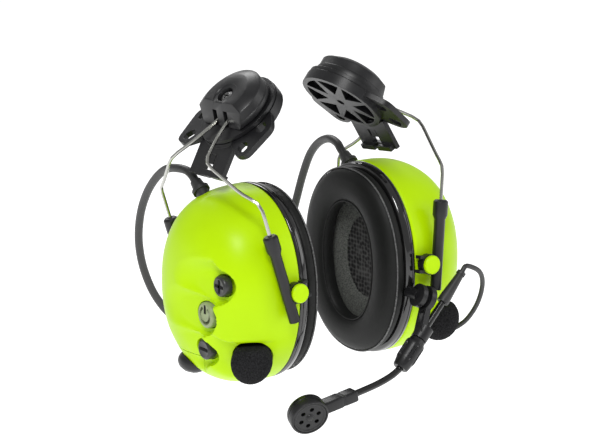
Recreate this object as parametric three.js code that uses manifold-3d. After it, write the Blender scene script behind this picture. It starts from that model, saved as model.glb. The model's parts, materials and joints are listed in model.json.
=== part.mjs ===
// Helmet-mounted communication ear muffs: two cups on sprung wire arms, each arm swivelling on an
// adapter that clips into a helmet's side slot, with a neck cable and a boom microphone.
// Millimetres, +Z up, wearer faces -Y, wearer's left is +X.

import * as THREE from 'three';
import { mergeVertices } from 'three/addons/utils/BufferGeometryUtils.js';
import Module from 'manifold-3d';

// ---------------------------------------------------------------- driving dimensions
const GAP = 0.3; // between pieces that rest on each other
const RUN = 0.35; // radial clearance of pieces that turn or slide
const DEG = Math.PI / 180;

const CUP_DROP = 96; // cup centres below the helmet adapters
const OVAL = 2.15; // exponent of the cup's oval outline
const CUP_HALF_WIDTH = 44.1;
const CUP_HALF_HEIGHT = 55;
const PARTING_X = 39.7; // joint between cup shell and base plate, from the mid-plane
const CUP_DEPTH = 47; // parting plane to the crown of the cup
const CROWN = 2.9; // exponent of the cup's rounding towards the crown
const WALL = 2.5;
const PLATE_DEPTH = 6.1;
const PLATE_TAPER = 1.2; // how much the base plate narrows towards the cushion
const PLATE_OPENING = [31, 42];
const CUSHION_DEPTH = 10.8;
const CUSHION_HALF = [43.4, 53.3];
const CUSHION_OPENING = [21.8, 33.2];
const LINER_DEPTH = 8.5;
const LINER_DISH = 3;
const SPEAKER_RADIUS = 20;
const SPEAKER_DEPTH = 7;

const PIVOT_X = 45.2; // arm pivots on the cup, from the mid-plane
const PIVOT_REACH = 4.4; // middle of the socket's eye beyond the cup's side
const PIVOT_Y = CUP_HALF_WIDTH + PIVOT_REACH;
const PIVOT_ROLL = 7; // the front pivot sits higher than the rear one
const STEM_RADIUS = 2.4;
const CAP_RADIUS = 5.3;
const CAP_THICK = 2;
const EYE_RADIUS = 5.8;
const EYE_THICK = 4.4;
const TUBE_OFFSET = 6.2; // socket tube outward of the pivot
const TUBE_RADIUS = 3.1;
const TUBE_LOW = -14.5;
const FERRULE_RADIUS = 4.2;
const FERRULE_LENGTH = 9.5;
const FERRULE_TOP = 36;
const BORE_LOW = -8;
const CLAW = [3.4, 1.8]; // reach and thickness of the two claws that snap on the cup's edge
const SHOULDER = 1.5; // taper between the tube and its ferrule
const CORNER = 1; // small rounding of moulded ends
const WIRE_RADIUS = 1;
const WIRE_END = 8; // lower end of a wire inside its socket
const WIRE_BEND = 5; // length of wire taken up on each side of a corner
// corners of one wire above its straight leg: outward, towards its own side, up, from the pivot line
const WIRE_LEG_TOP = 54.5;
const WIRE_CORNERS = [
  [9.4, PIVOT_Y - 11.1, 60.8],
  [12.8, 16.7, 78.3],
  [-0.7, 9.4, 83.8],
];
const WIRE_EXIT = [-13.6, 5, 89.1];
const WIRE_ROOT = 7; // wire inside the hub's slot
const HUB_SLOT_X = 6; // inner end of the wires, in the hub's frame
const HUB_SLOT_Z = 10.6;

const RIM_RADIUS = 24.5;
const RIM_HEIGHT = 6;
const RIM_WALL = 3;
const WINDOWS = 8;
const SPOKE = 2.2;
const WINDOW_START = 8.5; // pointed inner end of each window, from the axis
const WINDOW_DEPTH = 4.4;
const RING_HEIGHT = 2.2;
const RING_RADIUS = 24;
const HUB_CAP_RADIUS = 21.5;
const HUB_CAP_HEIGHT = 12;
const HUB_CAP_BEVEL = 3.4;
const HUB_FLAT = 6; // the cap's cut face, from the axis, at the top
const HUB_FLAT_SLOPE = 31 * DEG;
const SLOT_WIDTH = 3.8;
const SLOT_TOP = 16.4;
const SLOT_START = 0.6;
const SCREW_HEAD_RADIUS = 3.9;
const SCREW_HEAD_HEIGHT = 2.4;
const SCREW_RADIUS = 2;
const SCREW_RECESS = 1.4;
const WING_THICK = 3.2;
const WING = [[-5, 19], [-5, 24.4], [4.8, 35.2], [26.5, 33], [28, 25], [21, 13], [10, 15]];
const WING_HOLES = [[6.6, 27], [21.4, 25.6]];
const WING_HOLE = [4.4, 3.3];
const BLADE_WIDTH = 31;
const BLADE_LENGTH = 19;
const BLADE_THICK = 2.6;
const BLADE_START = 21;
const BLADE_SLOPE = 21 * DEG;
const BLADE_WINDOW = [9, 7];
const TONGUE = [4.6, 5.4];
const FOOT = [12, 3, 2.6];
const FOOT_SPACING = 15;

const BUTTON_TRAVEL = 1.2;
const BUTTON_RECESS = 3.4;
const BUTTONS = {
  plus_button: { y: -25, z: 9.7, radius: 5.9, face: 82.2, well: 9.6 },
  power_button: { y: -14.6, z: -8.7, radius: 7.3, face: 84.4, well: 11.5 },
  minus_button: { y: -9.4, z: -30, radius: 5.9, face: 82, well: 9.6 },
};
const BUTTON_LENGTH = 8;
const BOSS_X = 75; // inner end of the thick area behind the buttons
const TALK_BUTTON = { y: -7, z: -4, half: [13, 25], face: 87.6, thick: 6, travel: 1.5 };

const SCREEN = { x: 65, y: -34, z: -33.5, radius: [12.5, 9.5, 12.5] };
const MIC_RADIUS = 3.4;
const MIC_LENGTH = 5;
const GLAND_RADIUS = 3.8;
const GLAND_COLLAR = 5.1;
const GLAND_LENGTH = 9;
const CABLE_RADIUS = 2.4;
const CABLE_LEAD = 4; // straight run of the cable beyond each gland

const BOARD = [1.6, 50, 62];
const BOARD_X = 56;
const CELL_RADIUS = 7.25;
const CELL_LENGTH = 50.5;
const CELLS = { battery_1: [70.5, 7.5], battery_2: [66.5, 23] };
const DOOR = { x: [58, 80], y: [-4, 30], z: -36 };
const LATCH = { x: 72, y: 12.5, z: -44, radius: [8, 10, 6.5] };

// boom microphone, from the left cup's centre; it keeps its place ahead of the front pivot
const BOOM_SIDE = -PIVOT_Y;
const BOOM_PIVOT = new THREE.Vector3(41.6, BOOM_SIDE - 5.6, -12.4);
const BOOM_NECK = new THREE.Vector3(32.9, BOOM_SIDE - 10.5, -29.2);
const BOOM_AIM = new THREE.Vector3(-0.723, -0.087, -0.688).normalize();
const BARREL_RADIUS = 4.2;
const BARREL_OUT = 1; // barrel end outward of the boom's pivot point
const BARREL_IN = 6;
const KNOB_RADIUS = 6.6;
const KNOB_THICK = 3;
const MOUNT_FOOT_RADIUS = 3.2;
const FORK_EYE = 7;
const FORK_THICK = 3.4;
const FORK_TIP_HALF = 3.6;
const FORK_SLOT = 4.6;
const NECK_RADIUS = 4.7;
const NECK_LENGTH = 8;
const NUT_RADIUS = 5.6;
const NUT_END_RADIUS = 4.2;
const NUT_LENGTH = 19.5;
const ROD_RADIUS = 1.9;
const ROD_ABOVE = 21;
const SLEEVE_LENGTH = 21;
const SLEEVE_RADII = [3.4, 2.2];
const LEAD_RADIUS = 1.4;
const MIC_NECK = [8, 6.4];
const CAPSULE_RADIUS = 11;
const CAPSULE_DEPTH = 9;
const GRILLE_THICK = 1.6;
const GRILLE_HOLES = 6;
const GRILLE_HOLE = 1.3;
const GRILLE_PITCH = 5.6;
const CAPSULE_CENTRE = new THREE.Vector3(-46.7, BOOM_SIDE - 11.5, -59.3);
const CAPSULE_FACE = new THREE.Vector3(-0.2, -0.93, -0.32).normalize();
const MIC_NECK_START = new THREE.Vector3(-15.5, BOOM_SIDE - 12.8, -54.2);
const ROD_IN_MIC_NECK = 5;
const GOOSENECK_BENDS = [[10, BOOM_SIDE - 13.2, -48.4], [0.5, BOOM_SIDE - 13.3, -51.2]];

// how each half hangs: lean of the sockets and tilt, roll of the hub, and where the cable leaves
const SIDES = {
  left: { turn: 1, lean: 9, hubTilt: 48, hubRoll: -8, gland: [46.5, 25], talk: true },
  right: { turn: -1, lean: 14, hubTilt: 50.7, hubRoll: -4, gland: [61, 17.5], talk: false },
};
const GLAND_AIM = new THREE.Vector3(0, 0.8, 0.6);

// routes of the cables, from the cup centres' mid-point
const NECK_ROUTE = [
  [-61, 33, 58.8], [-61, 46, 57.6], [-59.5, 58, 53.5], [-57.5, 72, 44], [-54, 87, 30],
  [-50, 99, 14], [-45, 108, -4], [-38, 113.5, -23], [-28, 116, -42],
  [-15, 116, -57], [2, 112, -65], [19, 106, -62], [34, 100, -49],
  [45, 96, -29], [51.5, 93.5, -8], [54.5, 90, 10], [55, 83.5, 28],
  [54, 75, 42], [52.5, 65.5, 50.5], [50.5, 55, 55.6], [48.5, 46, 57.4],
  [47.3, 39, 56.4],
];
const LEAD_ROUTE = [
  [72.8, -54.6, 0.4], [79.6, -52, -4.4], [84.6, -48, -12],
  [87, -43, -22], [87.2, -37, -32], [85, -30.5, -40.5],
];
const LEAD_GLAND = { x: 75, y: -19.5, aim: new THREE.Vector3(0.55, -0.45, -0.7).normalize() };

// ---------------------------------------------------------------- materials
const plastic = (color, roughness) => new THREE.MeshStandardMaterial({ color, roughness, metalness: 0 });
const steel = (color, roughness) => new THREE.MeshStandardMaterial({ color, roughness, metalness: 1 });
const MATERIALS = {
  hiVis: () => plastic(0xc8f000, 0.35),
  blackPlastic: () => plastic(0x2d2d2d, 0.55),
  glossBlack: () => plastic(0x161616, 0.15),
  leatherette: () => plastic(0x373a37, 0.6),
  greyFoam: () => plastic(0x6a6c66, 1),
  blackFoam: () => plastic(0x1c1c1c, 1),
  translucent: () => plastic(0x8f9d70, 0.4),
  rubber: () => plastic(0x3a3c39, 0.7),
  board: () => plastic(0x1f5a34, 0.5),
  wire: () => steel(0xb9b9ae, 0.25),
  screw: () => steel(0x77777a, 0.35),
  cell: () => steel(0x9a8f6a, 0.35),
};

// ---------------------------------------------------------------- geometry helpers
const wasm = await Module();
wasm.setup();

function toSolid(geometry) {
  const bare = geometry.index ? geometry.clone() : mergeVertices(geometry);
  bare.deleteAttribute('normal');
  bare.deleteAttribute('uv');
  const merged = mergeVertices(bare, 1e-4);
  return new wasm.Manifold(new wasm.Mesh({
    numProp: 3,
    vertProperties: new Float32Array(merged.attributes.position.array),
    triVerts: new Uint32Array(merged.index.array),
  }));
}

function toGeometry(solid) {
  const mesh = solid.getMesh();
  const geometry = new THREE.BufferGeometry();
  geometry.setAttribute('position', new THREE.BufferAttribute(mesh.vertProperties, 3));
  geometry.setIndex(new THREE.BufferAttribute(mesh.triVerts, 1));
  return geometry;
}

const join = (first, ...rest) => rest.reduce((sum, next) => sum.add(next), first);
const cut = (first, ...rest) => rest.reduce((left, next) => left.subtract(next), first);

function moved(geometry, matrix) {
  return geometry.clone().applyMatrix4(matrix);
}

// a matrix that puts local +Z along aim, at a place
function along(place, aim, side = new THREE.Vector3(0, 1, 0)) {
  const z = aim.clone().normalize();
  const x = side.clone().cross(z).normalize();
  const y = z.clone().cross(x);
  return new THREE.Matrix4().makeBasis(x, y, z).setPosition(place);
}

// a solid of revolution about +Z from [radius, height] pairs that start and end on the axis
function turned(profile, sides = 24) {
  const points = profile.map(([radius, height]) => new THREE.Vector2(radius, height));
  return new THREE.LatheGeometry(points, sides).rotateX(Math.PI / 2);
}

function rod(radius, low, high, sides = 16) {
  return turned([[0, low], [radius, low], [radius, high], [0, high]], sides);
}

function block(sizeX, sizeY, sizeZ, x, y, z) {
  return new THREE.BoxGeometry(sizeX, sizeY, sizeZ).translate(x, y, z);
}

function slab(shape, low, high, curveSegments = 8) {
  const options = { depth: high - low, bevelEnabled: false, curveSegments };
  return new THREE.ExtrudeGeometry(shape, options).translate(0, 0, low);
}

// a closed outline through corner points, each corner rounded by a length taken off both its sides
function roundedShape(corners, trim) {
  const points = corners.map(([x, y]) => new THREE.Vector2(x, y));
  const shape = new THREE.Shape();
  points.forEach((corner, i) => {
    const before = points[(i + points.length - 1) % points.length].clone().sub(corner);
    const after = points[(i + 1) % points.length].clone().sub(corner);
    const start = corner.clone().add(before.setLength(Math.min(trim, before.length() / 2.2)));
    const end = corner.clone().add(after.setLength(Math.min(trim, after.length() / 2.2)));
    if (i === 0) shape.moveTo(start.x, start.y);
    else shape.lineTo(start.x, start.y);
    shape.quadraticCurveTo(corner.x, corner.y, end.x, end.y);
  });
  shape.closePath();
  return shape;
}

function ovalPoint(halfWidth, halfHeight, angle) {
  const c = Math.cos(angle);
  const s = Math.sin(angle);
  return [
    Math.sign(c) * halfWidth * Math.abs(c) ** (2 / OVAL),
    Math.sign(s) * halfHeight * Math.abs(s) ** (2 / OVAL),
  ];
}

// rings of an oval section: each station is [x, half width, half height]
function ovalLoft(stations, loop, count = 28) {
  const positions = [];
  const index = [];
  for (const [x, halfWidth, halfHeight] of stations) {
    for (let i = 0; i < count; i += 1) {
      const [y, z] = ovalPoint(halfWidth, halfHeight, (2 * Math.PI * i) / count);
      positions.push(x, y, z);
    }
  }
  const last = loop ? stations.length : stations.length - 1;
  for (let ring = 0; ring < last; ring += 1) {
    const next = (ring + 1) % stations.length;
    for (let i = 0; i < count; i += 1) {
      const j = (i + 1) % count;
      const a = ring * count + i;
      const b = ring * count + j;
      const c = next * count + j;
      const d = next * count + i;
      index.push(a, b, c, a, c, d);
    }
  }
  if (!loop) {
    for (const ring of [0, stations.length - 1]) {
      const centre = positions.length / 3;
      positions.push(stations[ring][0], 0, 0);
      for (let i = 0; i < count; i += 1) {
        const a = ring * count + i;
        const b = ring * count + ((i + 1) % count);
        if (ring === 0) index.push(centre, b, a);
        else index.push(centre, a, b);
      }
    }
  }
  const geometry = new THREE.BufferGeometry();
  geometry.setAttribute('position', new THREE.Float32BufferAttribute(positions, 3));
  geometry.setIndex(index);
  return geometry;
}

// the cup's rounded body from the parting plane to its crown, grown or shrunk by an offset
function cupStations(offset, rings = 8) {
  const stations = [];
  for (let i = 0; i < rings; i += 1) {
    const angle = (i / rings) * (Math.PI / 2);
    const reach = Math.sin(angle) ** (2 / CROWN);
    const width = Math.cos(angle) ** (2 / CROWN);
    stations.push([
      PARTING_X + (CUP_DEPTH + offset) * reach,
      (CUP_HALF_WIDTH + offset) * width,
      (CUP_HALF_HEIGHT + offset) * width,
    ]);
  }
  const tip = stations[rings - 1];
  stations.push([PARTING_X + CUP_DEPTH + offset, tip[1] * 0.35, tip[2] * 0.35]);
  return stations;
}

function cupBody(offset, back = 0) {
  const stations = cupStations(offset);
  if (back > 0) stations.unshift([PARTING_X - back, stations[0][1], stations[0][2]]);
  return toSolid(ovalLoft(stations, false));
}

// height of the cup's surface above its centre line, where it is x out and y across
function cupTop(x, y) {
  const reach = (x - PARTING_X) / CUP_DEPTH;
  const scale = (1 - reach ** CROWN) ** (1 / CROWN);
  const across = Math.abs(y) / (CUP_HALF_WIDTH * scale);
  return CUP_HALF_HEIGHT * scale * (1 - across ** OVAL) ** (1 / OVAL);
}

// a path of straight runs with rounded corners
function bentPath(points, trim) {
  const path = new THREE.CurvePath();
  let from = points[0];
  for (let i = 1; i < points.length - 1; i += 1) {
    const back = points[i - 1].clone().sub(points[i]);
    const on = points[i + 1].clone().sub(points[i]);
    const start = points[i].clone().add(back.setLength(Math.min(trim, back.length() / 2.2)));
    const end = points[i].clone().add(on.setLength(Math.min(trim, on.length() / 2.2)));
    path.add(new THREE.LineCurve3(from, start));
    path.add(new THREE.QuadraticBezierCurve3(start, points[i], end));
    from = end;
  }
  path.add(new THREE.LineCurve3(from, points[points.length - 1]));
  return path;
}

function tube(path, radius, sides, steps) {
  const section = new THREE.Shape();
  for (let i = 0; i < sides; i += 1) {
    const angle = (2 * Math.PI * i) / sides;
    if (i === 0) section.moveTo(radius * Math.cos(angle), radius * Math.sin(angle));
    else section.lineTo(radius * Math.cos(angle), radius * Math.sin(angle));
  }
  section.closePath();
  return new THREE.ExtrudeGeometry(section, { extrudePath: path, steps, bevelEnabled: false });
}

const vector = ([x, y, z]) => new THREE.Vector3(x, y, z);

// ---------------------------------------------------------------- the scene graph
const headset = new THREE.Group();
const cupLevel = new THREE.Group();
cupLevel.position.z = -CUP_DROP;
headset.add(cupLevel);

function place(parent, name, solid, material) {
  const geometry = solid.isBufferGeometry ? solid : toGeometry(solid);
  const mesh = new THREE.Mesh(geometry, material);
  mesh.name = name;
  parent.add(mesh);
}

// ---------------------------------------------------------------- helmet adapter and hub
// local frame: z along the swivel axis, x down towards the blade
function adapterBase() {
  const rim = toSolid(rod(RIM_RADIUS, 0, RIM_HEIGHT, 32));
  const outer = RIM_RADIUS - RIM_WALL;
  const half = Math.PI / WINDOWS - SPOKE / 2 / outer;
  const windows = [];
  for (let i = 0; i < WINDOWS; i += 1) {
    const middle = ((i + 0.5) * 2 * Math.PI) / WINDOWS;
    const wedge = new THREE.Shape();
    wedge.moveTo(WINDOW_START * Math.cos(middle), WINDOW_START * Math.sin(middle));
    wedge.lineTo(outer * Math.cos(middle - half), outer * Math.sin(middle - half));
    wedge.absarc(0, 0, outer, middle - half, middle + half, false);
    wedge.closePath();
    windows.push(toSolid(slab(wedge, -1, WINDOW_DEPTH, 3)));
  }
  const wings = [-1, 1].map((side) => {
    const outline = roundedShape(WING.map(([x, y]) => [x, side * y]), 4);
    for (const [x, y] of WING_HOLES) {
      const hole = new THREE.Path();
      hole.absellipse(x, side * y, WING_HOLE[0], WING_HOLE[1], 0, 2 * Math.PI, false, side * 0.9);
      outline.holes.push(hole);
    }
    return toSolid(slab(outline, RIM_HEIGHT - WING_THICK, RIM_HEIGHT, 4));
  });
  const bladeFrame = new THREE.Matrix4().makeRotationY(BLADE_SLOPE).setPosition(BLADE_START, 0, RIM_HEIGHT / 2);
  const blade = toSolid(moved(block(BLADE_LENGTH, BLADE_WIDTH, BLADE_THICK, BLADE_LENGTH / 2, 0, 0), bladeFrame));
  const windowMiddle = BLADE_LENGTH * 0.58;
  const opening = toSolid(moved(
    block(BLADE_WINDOW[0], BLADE_WINDOW[1], 2 * BLADE_THICK, windowMiddle, 0, 0), bladeFrame));
  const tongueStart = windowMiddle - BLADE_WINDOW[0] / 2 - 0.5;
  const tongue = toSolid(moved(
    block(TONGUE[1] + 0.5, TONGUE[0], BLADE_THICK * 0.6, tongueStart + (TONGUE[1] + 0.5) / 2, 0, 0), bladeFrame));
  const feet = [-1, 1].map((side) => toSolid(moved(
    block(FOOT[1], FOOT[0], FOOT[2] + 0.4, BLADE_LENGTH - FOOT[1] / 2, (side * FOOT_SPACING) / 2,
      -(BLADE_THICK + FOOT[2]) / 2), bladeFrame)));
  const bore = toSolid(rod(SCREW_RADIUS + RUN, -1, RIM_HEIGHT + 1));
  const plate = cut(join(rim, ...wings), ...windows, bore);
  return join(cut(join(plate, blade), opening), tongue, ...feet);
}

function hubRing() {
  const low = RIM_HEIGHT + GAP;
  const ring = toSolid(rod(RING_RADIUS, low, low + RING_HEIGHT, 32));
  return cut(ring, toSolid(rod(SCREW_RADIUS + RUN, 0, 30)));
}

const HUB_CAP_LOW = RIM_HEIGHT + RING_HEIGHT + 2 * GAP;
const HUB_CAP_TOP = HUB_CAP_LOW + HUB_CAP_HEIGHT;

function hubCap() {
  const body = toSolid(turned([
    [0, HUB_CAP_LOW], [HUB_CAP_RADIUS, HUB_CAP_LOW], [HUB_CAP_RADIUS, HUB_CAP_TOP - HUB_CAP_BEVEL],
    [HUB_CAP_RADIUS - HUB_CAP_BEVEL, HUB_CAP_TOP - HUB_CAP_BEVEL / 3],
    [HUB_CAP_RADIUS - HUB_CAP_BEVEL - 1.5, HUB_CAP_TOP], [0, HUB_CAP_TOP],
  ], 32));
  const reach = 3 * HUB_CAP_RADIUS;
  const flatFrame = new THREE.Matrix4().makeRotationY(-HUB_FLAT_SLOPE).setPosition(HUB_FLAT, 0, HUB_CAP_TOP);
  const flat = toSolid(moved(block(reach, reach, 2 * reach, reach / 2, 0, 0), flatFrame));
  const slots = [-1, 1].map((side) => toSolid(block(
    HUB_CAP_RADIUS, SLOT_WIDTH, SLOT_TOP - HUB_CAP_LOW + 1,
    SLOT_START + HUB_CAP_RADIUS / 2, side * WIRE_EXIT[1], (SLOT_TOP + HUB_CAP_LOW - 1) / 2)));
  const headRoom = SCREW_HEAD_RADIUS + 3 * RUN;
  const counterbore = toSolid(rod(headRoom, HUB_CAP_TOP - SCREW_RECESS - SCREW_HEAD_HEIGHT, HUB_CAP_TOP + 1));
  const bore = toSolid(rod(SCREW_RADIUS + RUN, 0, HUB_CAP_TOP + 1));
  return cut(body, flat, ...slots, counterbore, bore);
}

function hubScrew() {
  const top = HUB_CAP_TOP - SCREW_RECESS;
  const under = top - SCREW_HEAD_HEIGHT + GAP;
  const body = toSolid(turned([
    [0, 1], [SCREW_RADIUS, 1], [SCREW_RADIUS, under], [SCREW_HEAD_RADIUS, under],
    [SCREW_HEAD_RADIUS, top - 0.7], [SCREW_HEAD_RADIUS * 0.6, top], [0, top],
  ], 24));
  const arm = SCREW_HEAD_RADIUS * 1.1;
  const depth = 1.2;
  return cut(body,
    toSolid(block(arm, 0.9, 2 * depth, 0, 0, top)),
    toSolid(block(0.9, arm, 2 * depth, 0, 0, top)));
}

// ---------------------------------------------------------------- arm: wires and sockets
// yoke frame: origin between the pivots, y along the pivot line, z up the sockets, x outward
function wirePoints(side) {
  const corners = WIRE_CORNERS.map(([x, y, z]) => new THREE.Vector3(x, side * y, z));
  const exit = new THREE.Vector3(WIRE_EXIT[0], side * WIRE_EXIT[1], WIRE_EXIT[2]);
  const inward = exit.clone().sub(corners[2]);
  inward.y = 0;
  const root = exit.clone().add(inward.setLength(WIRE_ROOT));
  const leg = (height) => new THREE.Vector3(TUBE_OFFSET, side * PIVOT_Y, height);
  return [leg(WIRE_END), leg(WIRE_LEG_TOP), ...corners, exit, root];
}

function wire(side) {
  return tube(bentPath(wirePoints(side), WIRE_BEND), WIRE_RADIUS, 8, 26);
}

function socket(side) {
  const ferruleLow = FERRULE_TOP - FERRULE_LENGTH;
  const body = toSolid(turned([
    [0, TUBE_LOW], [TUBE_RADIUS, TUBE_LOW], [TUBE_RADIUS, ferruleLow - SHOULDER],
    [FERRULE_RADIUS, ferruleLow + CORNER], [FERRULE_RADIUS, FERRULE_TOP - CORNER],
    [FERRULE_RADIUS - CORNER, FERRULE_TOP], [0, FERRULE_TOP],
  ], 14).translate(TUBE_OFFSET, side * PIVOT_Y, 0));
  const eye = toSolid(rod(EYE_RADIUS, -EYE_THICK / 2, EYE_THICK / 2, 20)
    .rotateX(Math.PI / 2).translate(0, side * PIVOT_Y, 0));
  const web = toSolid(block(TUBE_OFFSET, EYE_THICK, EYE_RADIUS * 1.7, TUBE_OFFSET / 2, side * PIVOT_Y, 0));
  const claws = [-1, 1].map((end) => toSolid(
    block(CLAW[0], EYE_THICK, CLAW[1], -EYE_RADIUS, side * PIVOT_Y, end * (EYE_RADIUS - CLAW[1]))));
  const stemHole = toSolid(rod(STEM_RADIUS + RUN, -EYE_THICK, EYE_THICK)
    .rotateX(Math.PI / 2).translate(0, side * PIVOT_Y, 0));
  const bore = toSolid(rod(WIRE_RADIUS + RUN, BORE_LOW, FERRULE_TOP + 1, 8)
    .translate(TUBE_OFFSET, side * PIVOT_Y, 0));
  const capLow = PIVOT_Y + EYE_THICK / 2;
  const capSeat = toSolid(rod(CAP_RADIUS + RUN, capLow, capLow + EYE_THICK, 20).rotateX(-Math.PI / 2 * side));
  return cut(join(body, web, eye, ...claws), stemHole, bore, capSeat);
}

// cap over the eye, with the stem that runs through it into the cup
const STEM_INNER = PIVOT_Y - 8.5;

function stem(radius, side, inner) {
  const outer = PIVOT_Y + EYE_THICK / 2 + GAP;
  return rod(radius, inner, outer + 1).rotateX(-Math.PI / 2 * side);
}

function pivotCap(side) {
  const low = PIVOT_Y + EYE_THICK / 2 + GAP;
  const head = turned([
    [0, low], [CAP_RADIUS, low], [CAP_RADIUS, low + CAP_THICK - 0.5],
    [CAP_RADIUS - 0.5, low + CAP_THICK], [0, low + CAP_THICK],
  ], 20).rotateX(-Math.PI / 2 * side);
  return join(toSolid(head), toSolid(stem(STEM_RADIUS, side, STEM_INNER)));
}

// ---------------------------------------------------------------- cup
// cup frame: x outward from the mid-plane, z up; ahead is the sign of y that faces forward
function glandFrame(spec, turn) {
  const [x, y] = spec.gland;
  const place = new THREE.Vector3(x, turn * y, cupTop(x, y));
  const aim = new THREE.Vector3(0, turn * GLAND_AIM.y, GLAND_AIM.z).normalize();
  return along(place, aim, new THREE.Vector3(1, 0, 0));
}

function screenSolid(turn) {
  const ball = new THREE.SphereGeometry(1, 18, 12).scale(...SCREEN.radius);
  return toSolid(ball.translate(SCREEN.x, turn * SCREEN.y, SCREEN.z));
}

function micFrame(turn) {
  const inward = new THREE.Vector3(SCREEN.x, turn * SCREEN.y, SCREEN.z);
  const aim = new THREE.Vector3(0.15, turn * -0.72, -0.6).normalize();
  return along(inward, aim, new THREE.Vector3(1, 0, 0));
}

function leadGlandFrame() {
  const { x, y, aim } = LEAD_GLAND;
  return along(new THREE.Vector3(x, y, -cupTop(x, y)), aim, new THREE.Vector3(0, 1, 0));
}

function cupShell(turn, spec, yokeMatrix) {
  const bosses = spec.talk ? [] : Object.values(BUTTONS).map(({ y, z, well }) => toSolid(
    rod(well + 1.5, BOSS_X, 100, 20).rotateY(Math.PI / 2).translate(0, turn * y, z)));
  let cavity = cut(cupBody(-WALL, 1), ...bosses);
  const talkBack = TALK_BUTTON.face - TALK_BUTTON.thick - TALK_BUTTON.travel - WALL;
  if (spec.talk) {
    const { half, y, z } = TALK_BUTTON;
    const backing = ovalLoft([
      [talkBack, half[0] + WALL, half[1] + WALL], [100, half[0] + WALL, half[1] + WALL],
    ], false, 20);
    cavity = cut(cavity, toSolid(backing.translate(0, turn * y, z)));
  }
  let shell = cut(cupBody(0), cavity);
  const stems = [-1, 1].map((side) => toSolid(
    moved(stem(STEM_RADIUS + RUN, side, STEM_INNER - 3), yokeMatrix)));
  shell = cut(shell, ...stems);
  shell = cut(shell, toSolid(moved(rod(GLAND_RADIUS + GAP, -14, 10), glandFrame(spec, turn))));
  shell = cut(shell, toSolid(moved(rod(MIC_RADIUS + GAP, -16, 4), micFrame(turn))));
  if (spec.talk) {
    const { half, y, z } = TALK_BUTTON;
    const low = talkBack + WALL;
    const pocket = ovalLoft([
      [low, half[0] + RUN, half[1] + RUN], [100, half[0] + RUN, half[1] + RUN]], false, 20);
    shell = cut(shell, toSolid(pocket.translate(0, turn * y, z)));
    return cut(shell, toSolid(moved(rod(LEAD_RADIUS + 1 + GAP, -9, 6, 16), leadGlandFrame())));
  }
  for (const { y, z, radius, face, well } of Object.values(BUTTONS)) {
    const hole = rod(radius + RUN, BOSS_X - 5, 100).rotateY(Math.PI / 2).translate(0, turn * y, z);
    const recess = turned([
      [0, face - BUTTON_RECESS], [well - 2.5, face - BUTTON_RECESS], [well, face], [well + 2, 100], [0, 100],
    ], 20).rotateY(Math.PI / 2).translate(0, turn * y, z);
    shell = cut(shell, toSolid(hole), toSolid(recess));
  }
  return shell;
}

// the wall patch that the battery door is cut from, and the opening it leaves
function doorRegion(grow) {
  const [x0, x1] = DOOR.x;
  const [y0, y1] = DOOR.y;
  const height = CUP_HALF_HEIGHT;
  return toSolid(block(x1 - x0 + 2 * grow, y1 - y0 + 2 * grow, height,
    (x0 + x1) / 2, -(y0 + y1) / 2, DOOR.z + grow - height / 2));
}

function latch() {
  const ball = new THREE.SphereGeometry(1, 14, 10).scale(...LATCH.radius).translate(LATCH.x, -LATCH.y, LATCH.z);
  return cut(toSolid(ball), cupBody(GAP));
}

function basePlate() {
  const [openWidth, openHeight] = PLATE_OPENING;
  const outer = PARTING_X - GAP;
  const inner = PARTING_X - PLATE_DEPTH;
  const narrow = PLATE_TAPER;
  return toSolid(ovalLoft([
    [inner, openWidth, openHeight], [inner, CUP_HALF_WIDTH - narrow, CUP_HALF_HEIGHT - narrow],
    [outer - 2, CUP_HALF_WIDTH, CUP_HALF_HEIGHT], [outer, CUP_HALF_WIDTH, CUP_HALF_HEIGHT],
    [outer, openWidth, openHeight],
  ], true));
}

function cushion() {
  const back = PARTING_X - PLATE_DEPTH - GAP;
  const front = back - CUSHION_DEPTH;
  const [w, h] = CUSHION_HALF;
  const [ow, oh] = CUSHION_OPENING;
  return toSolid(ovalLoft([
    [back, ow, oh], [front + 5.4, ow, oh], [front + 2.6, ow + 1.4, oh + 1.4], [front + 0.4, ow + 5.4, oh + 5.4],
    [front, w - 10, h - 10], [front + 0.5, w - 5, h - 5], [back - 8.4, w - 1.4, h - 1.4], [back - 5.3, w, h],
    [back - 2.4, w - 0.3, h - 0.3], [back, w - 1.6, h - 1.6],
  ], true));
}

function foamLiner() {
  const width = PLATE_OPENING[0] - GAP;
  const height = PLATE_OPENING[1] - GAP;
  const inner = PARTING_X - PLATE_DEPTH + 2;
  return toSolid(ovalLoft([
    [inner + LINER_DISH, width * 0.5, height * 0.5], [inner + LINER_DISH * 0.7, width * 0.72, height * 0.72],
    [inner, width * 0.9, height * 0.9], [inner, width, height], [inner + LINER_DEPTH, width, height],
  ], false));
}

function speaker() {
  const low = PARTING_X - PLATE_DEPTH + 2 + LINER_DEPTH + GAP;
  const high = low + SPEAKER_DEPTH;
  return toSolid(turned([
    [0, low], [SPEAKER_RADIUS, low], [SPEAKER_RADIUS, low + 3], [SPEAKER_RADIUS - 3, high], [0, high],
  ], 32).rotateY(Math.PI / 2));
}

function cableGland(spec, turn) {
  const body = turned([
    [0, -6], [GLAND_RADIUS, -6], [GLAND_RADIUS, 1.5], [GLAND_COLLAR, 1.5], [GLAND_COLLAR, 3.6],
    [GLAND_RADIUS, 4.2], [GLAND_RADIUS - 0.6, GLAND_LENGTH], [0, GLAND_LENGTH],
  ], 14);
  const solid = toSolid(moved(body, glandFrame(spec, turn)));
  const skirt = toSolid(moved(rod(GLAND_RADIUS, -8, 0), glandFrame(spec, turn)));
  return join(cut(solid, cupBody(GAP)), skirt.intersect(solid));
}

function leadGland() {
  const radius = LEAD_RADIUS + 1;
  const solid = toSolid(moved(turned([
    [0, -5], [radius, -5], [radius, 2], [radius - 0.5, 5], [0, 5]], 16), leadGlandFrame()));
  return solid;
}

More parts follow.
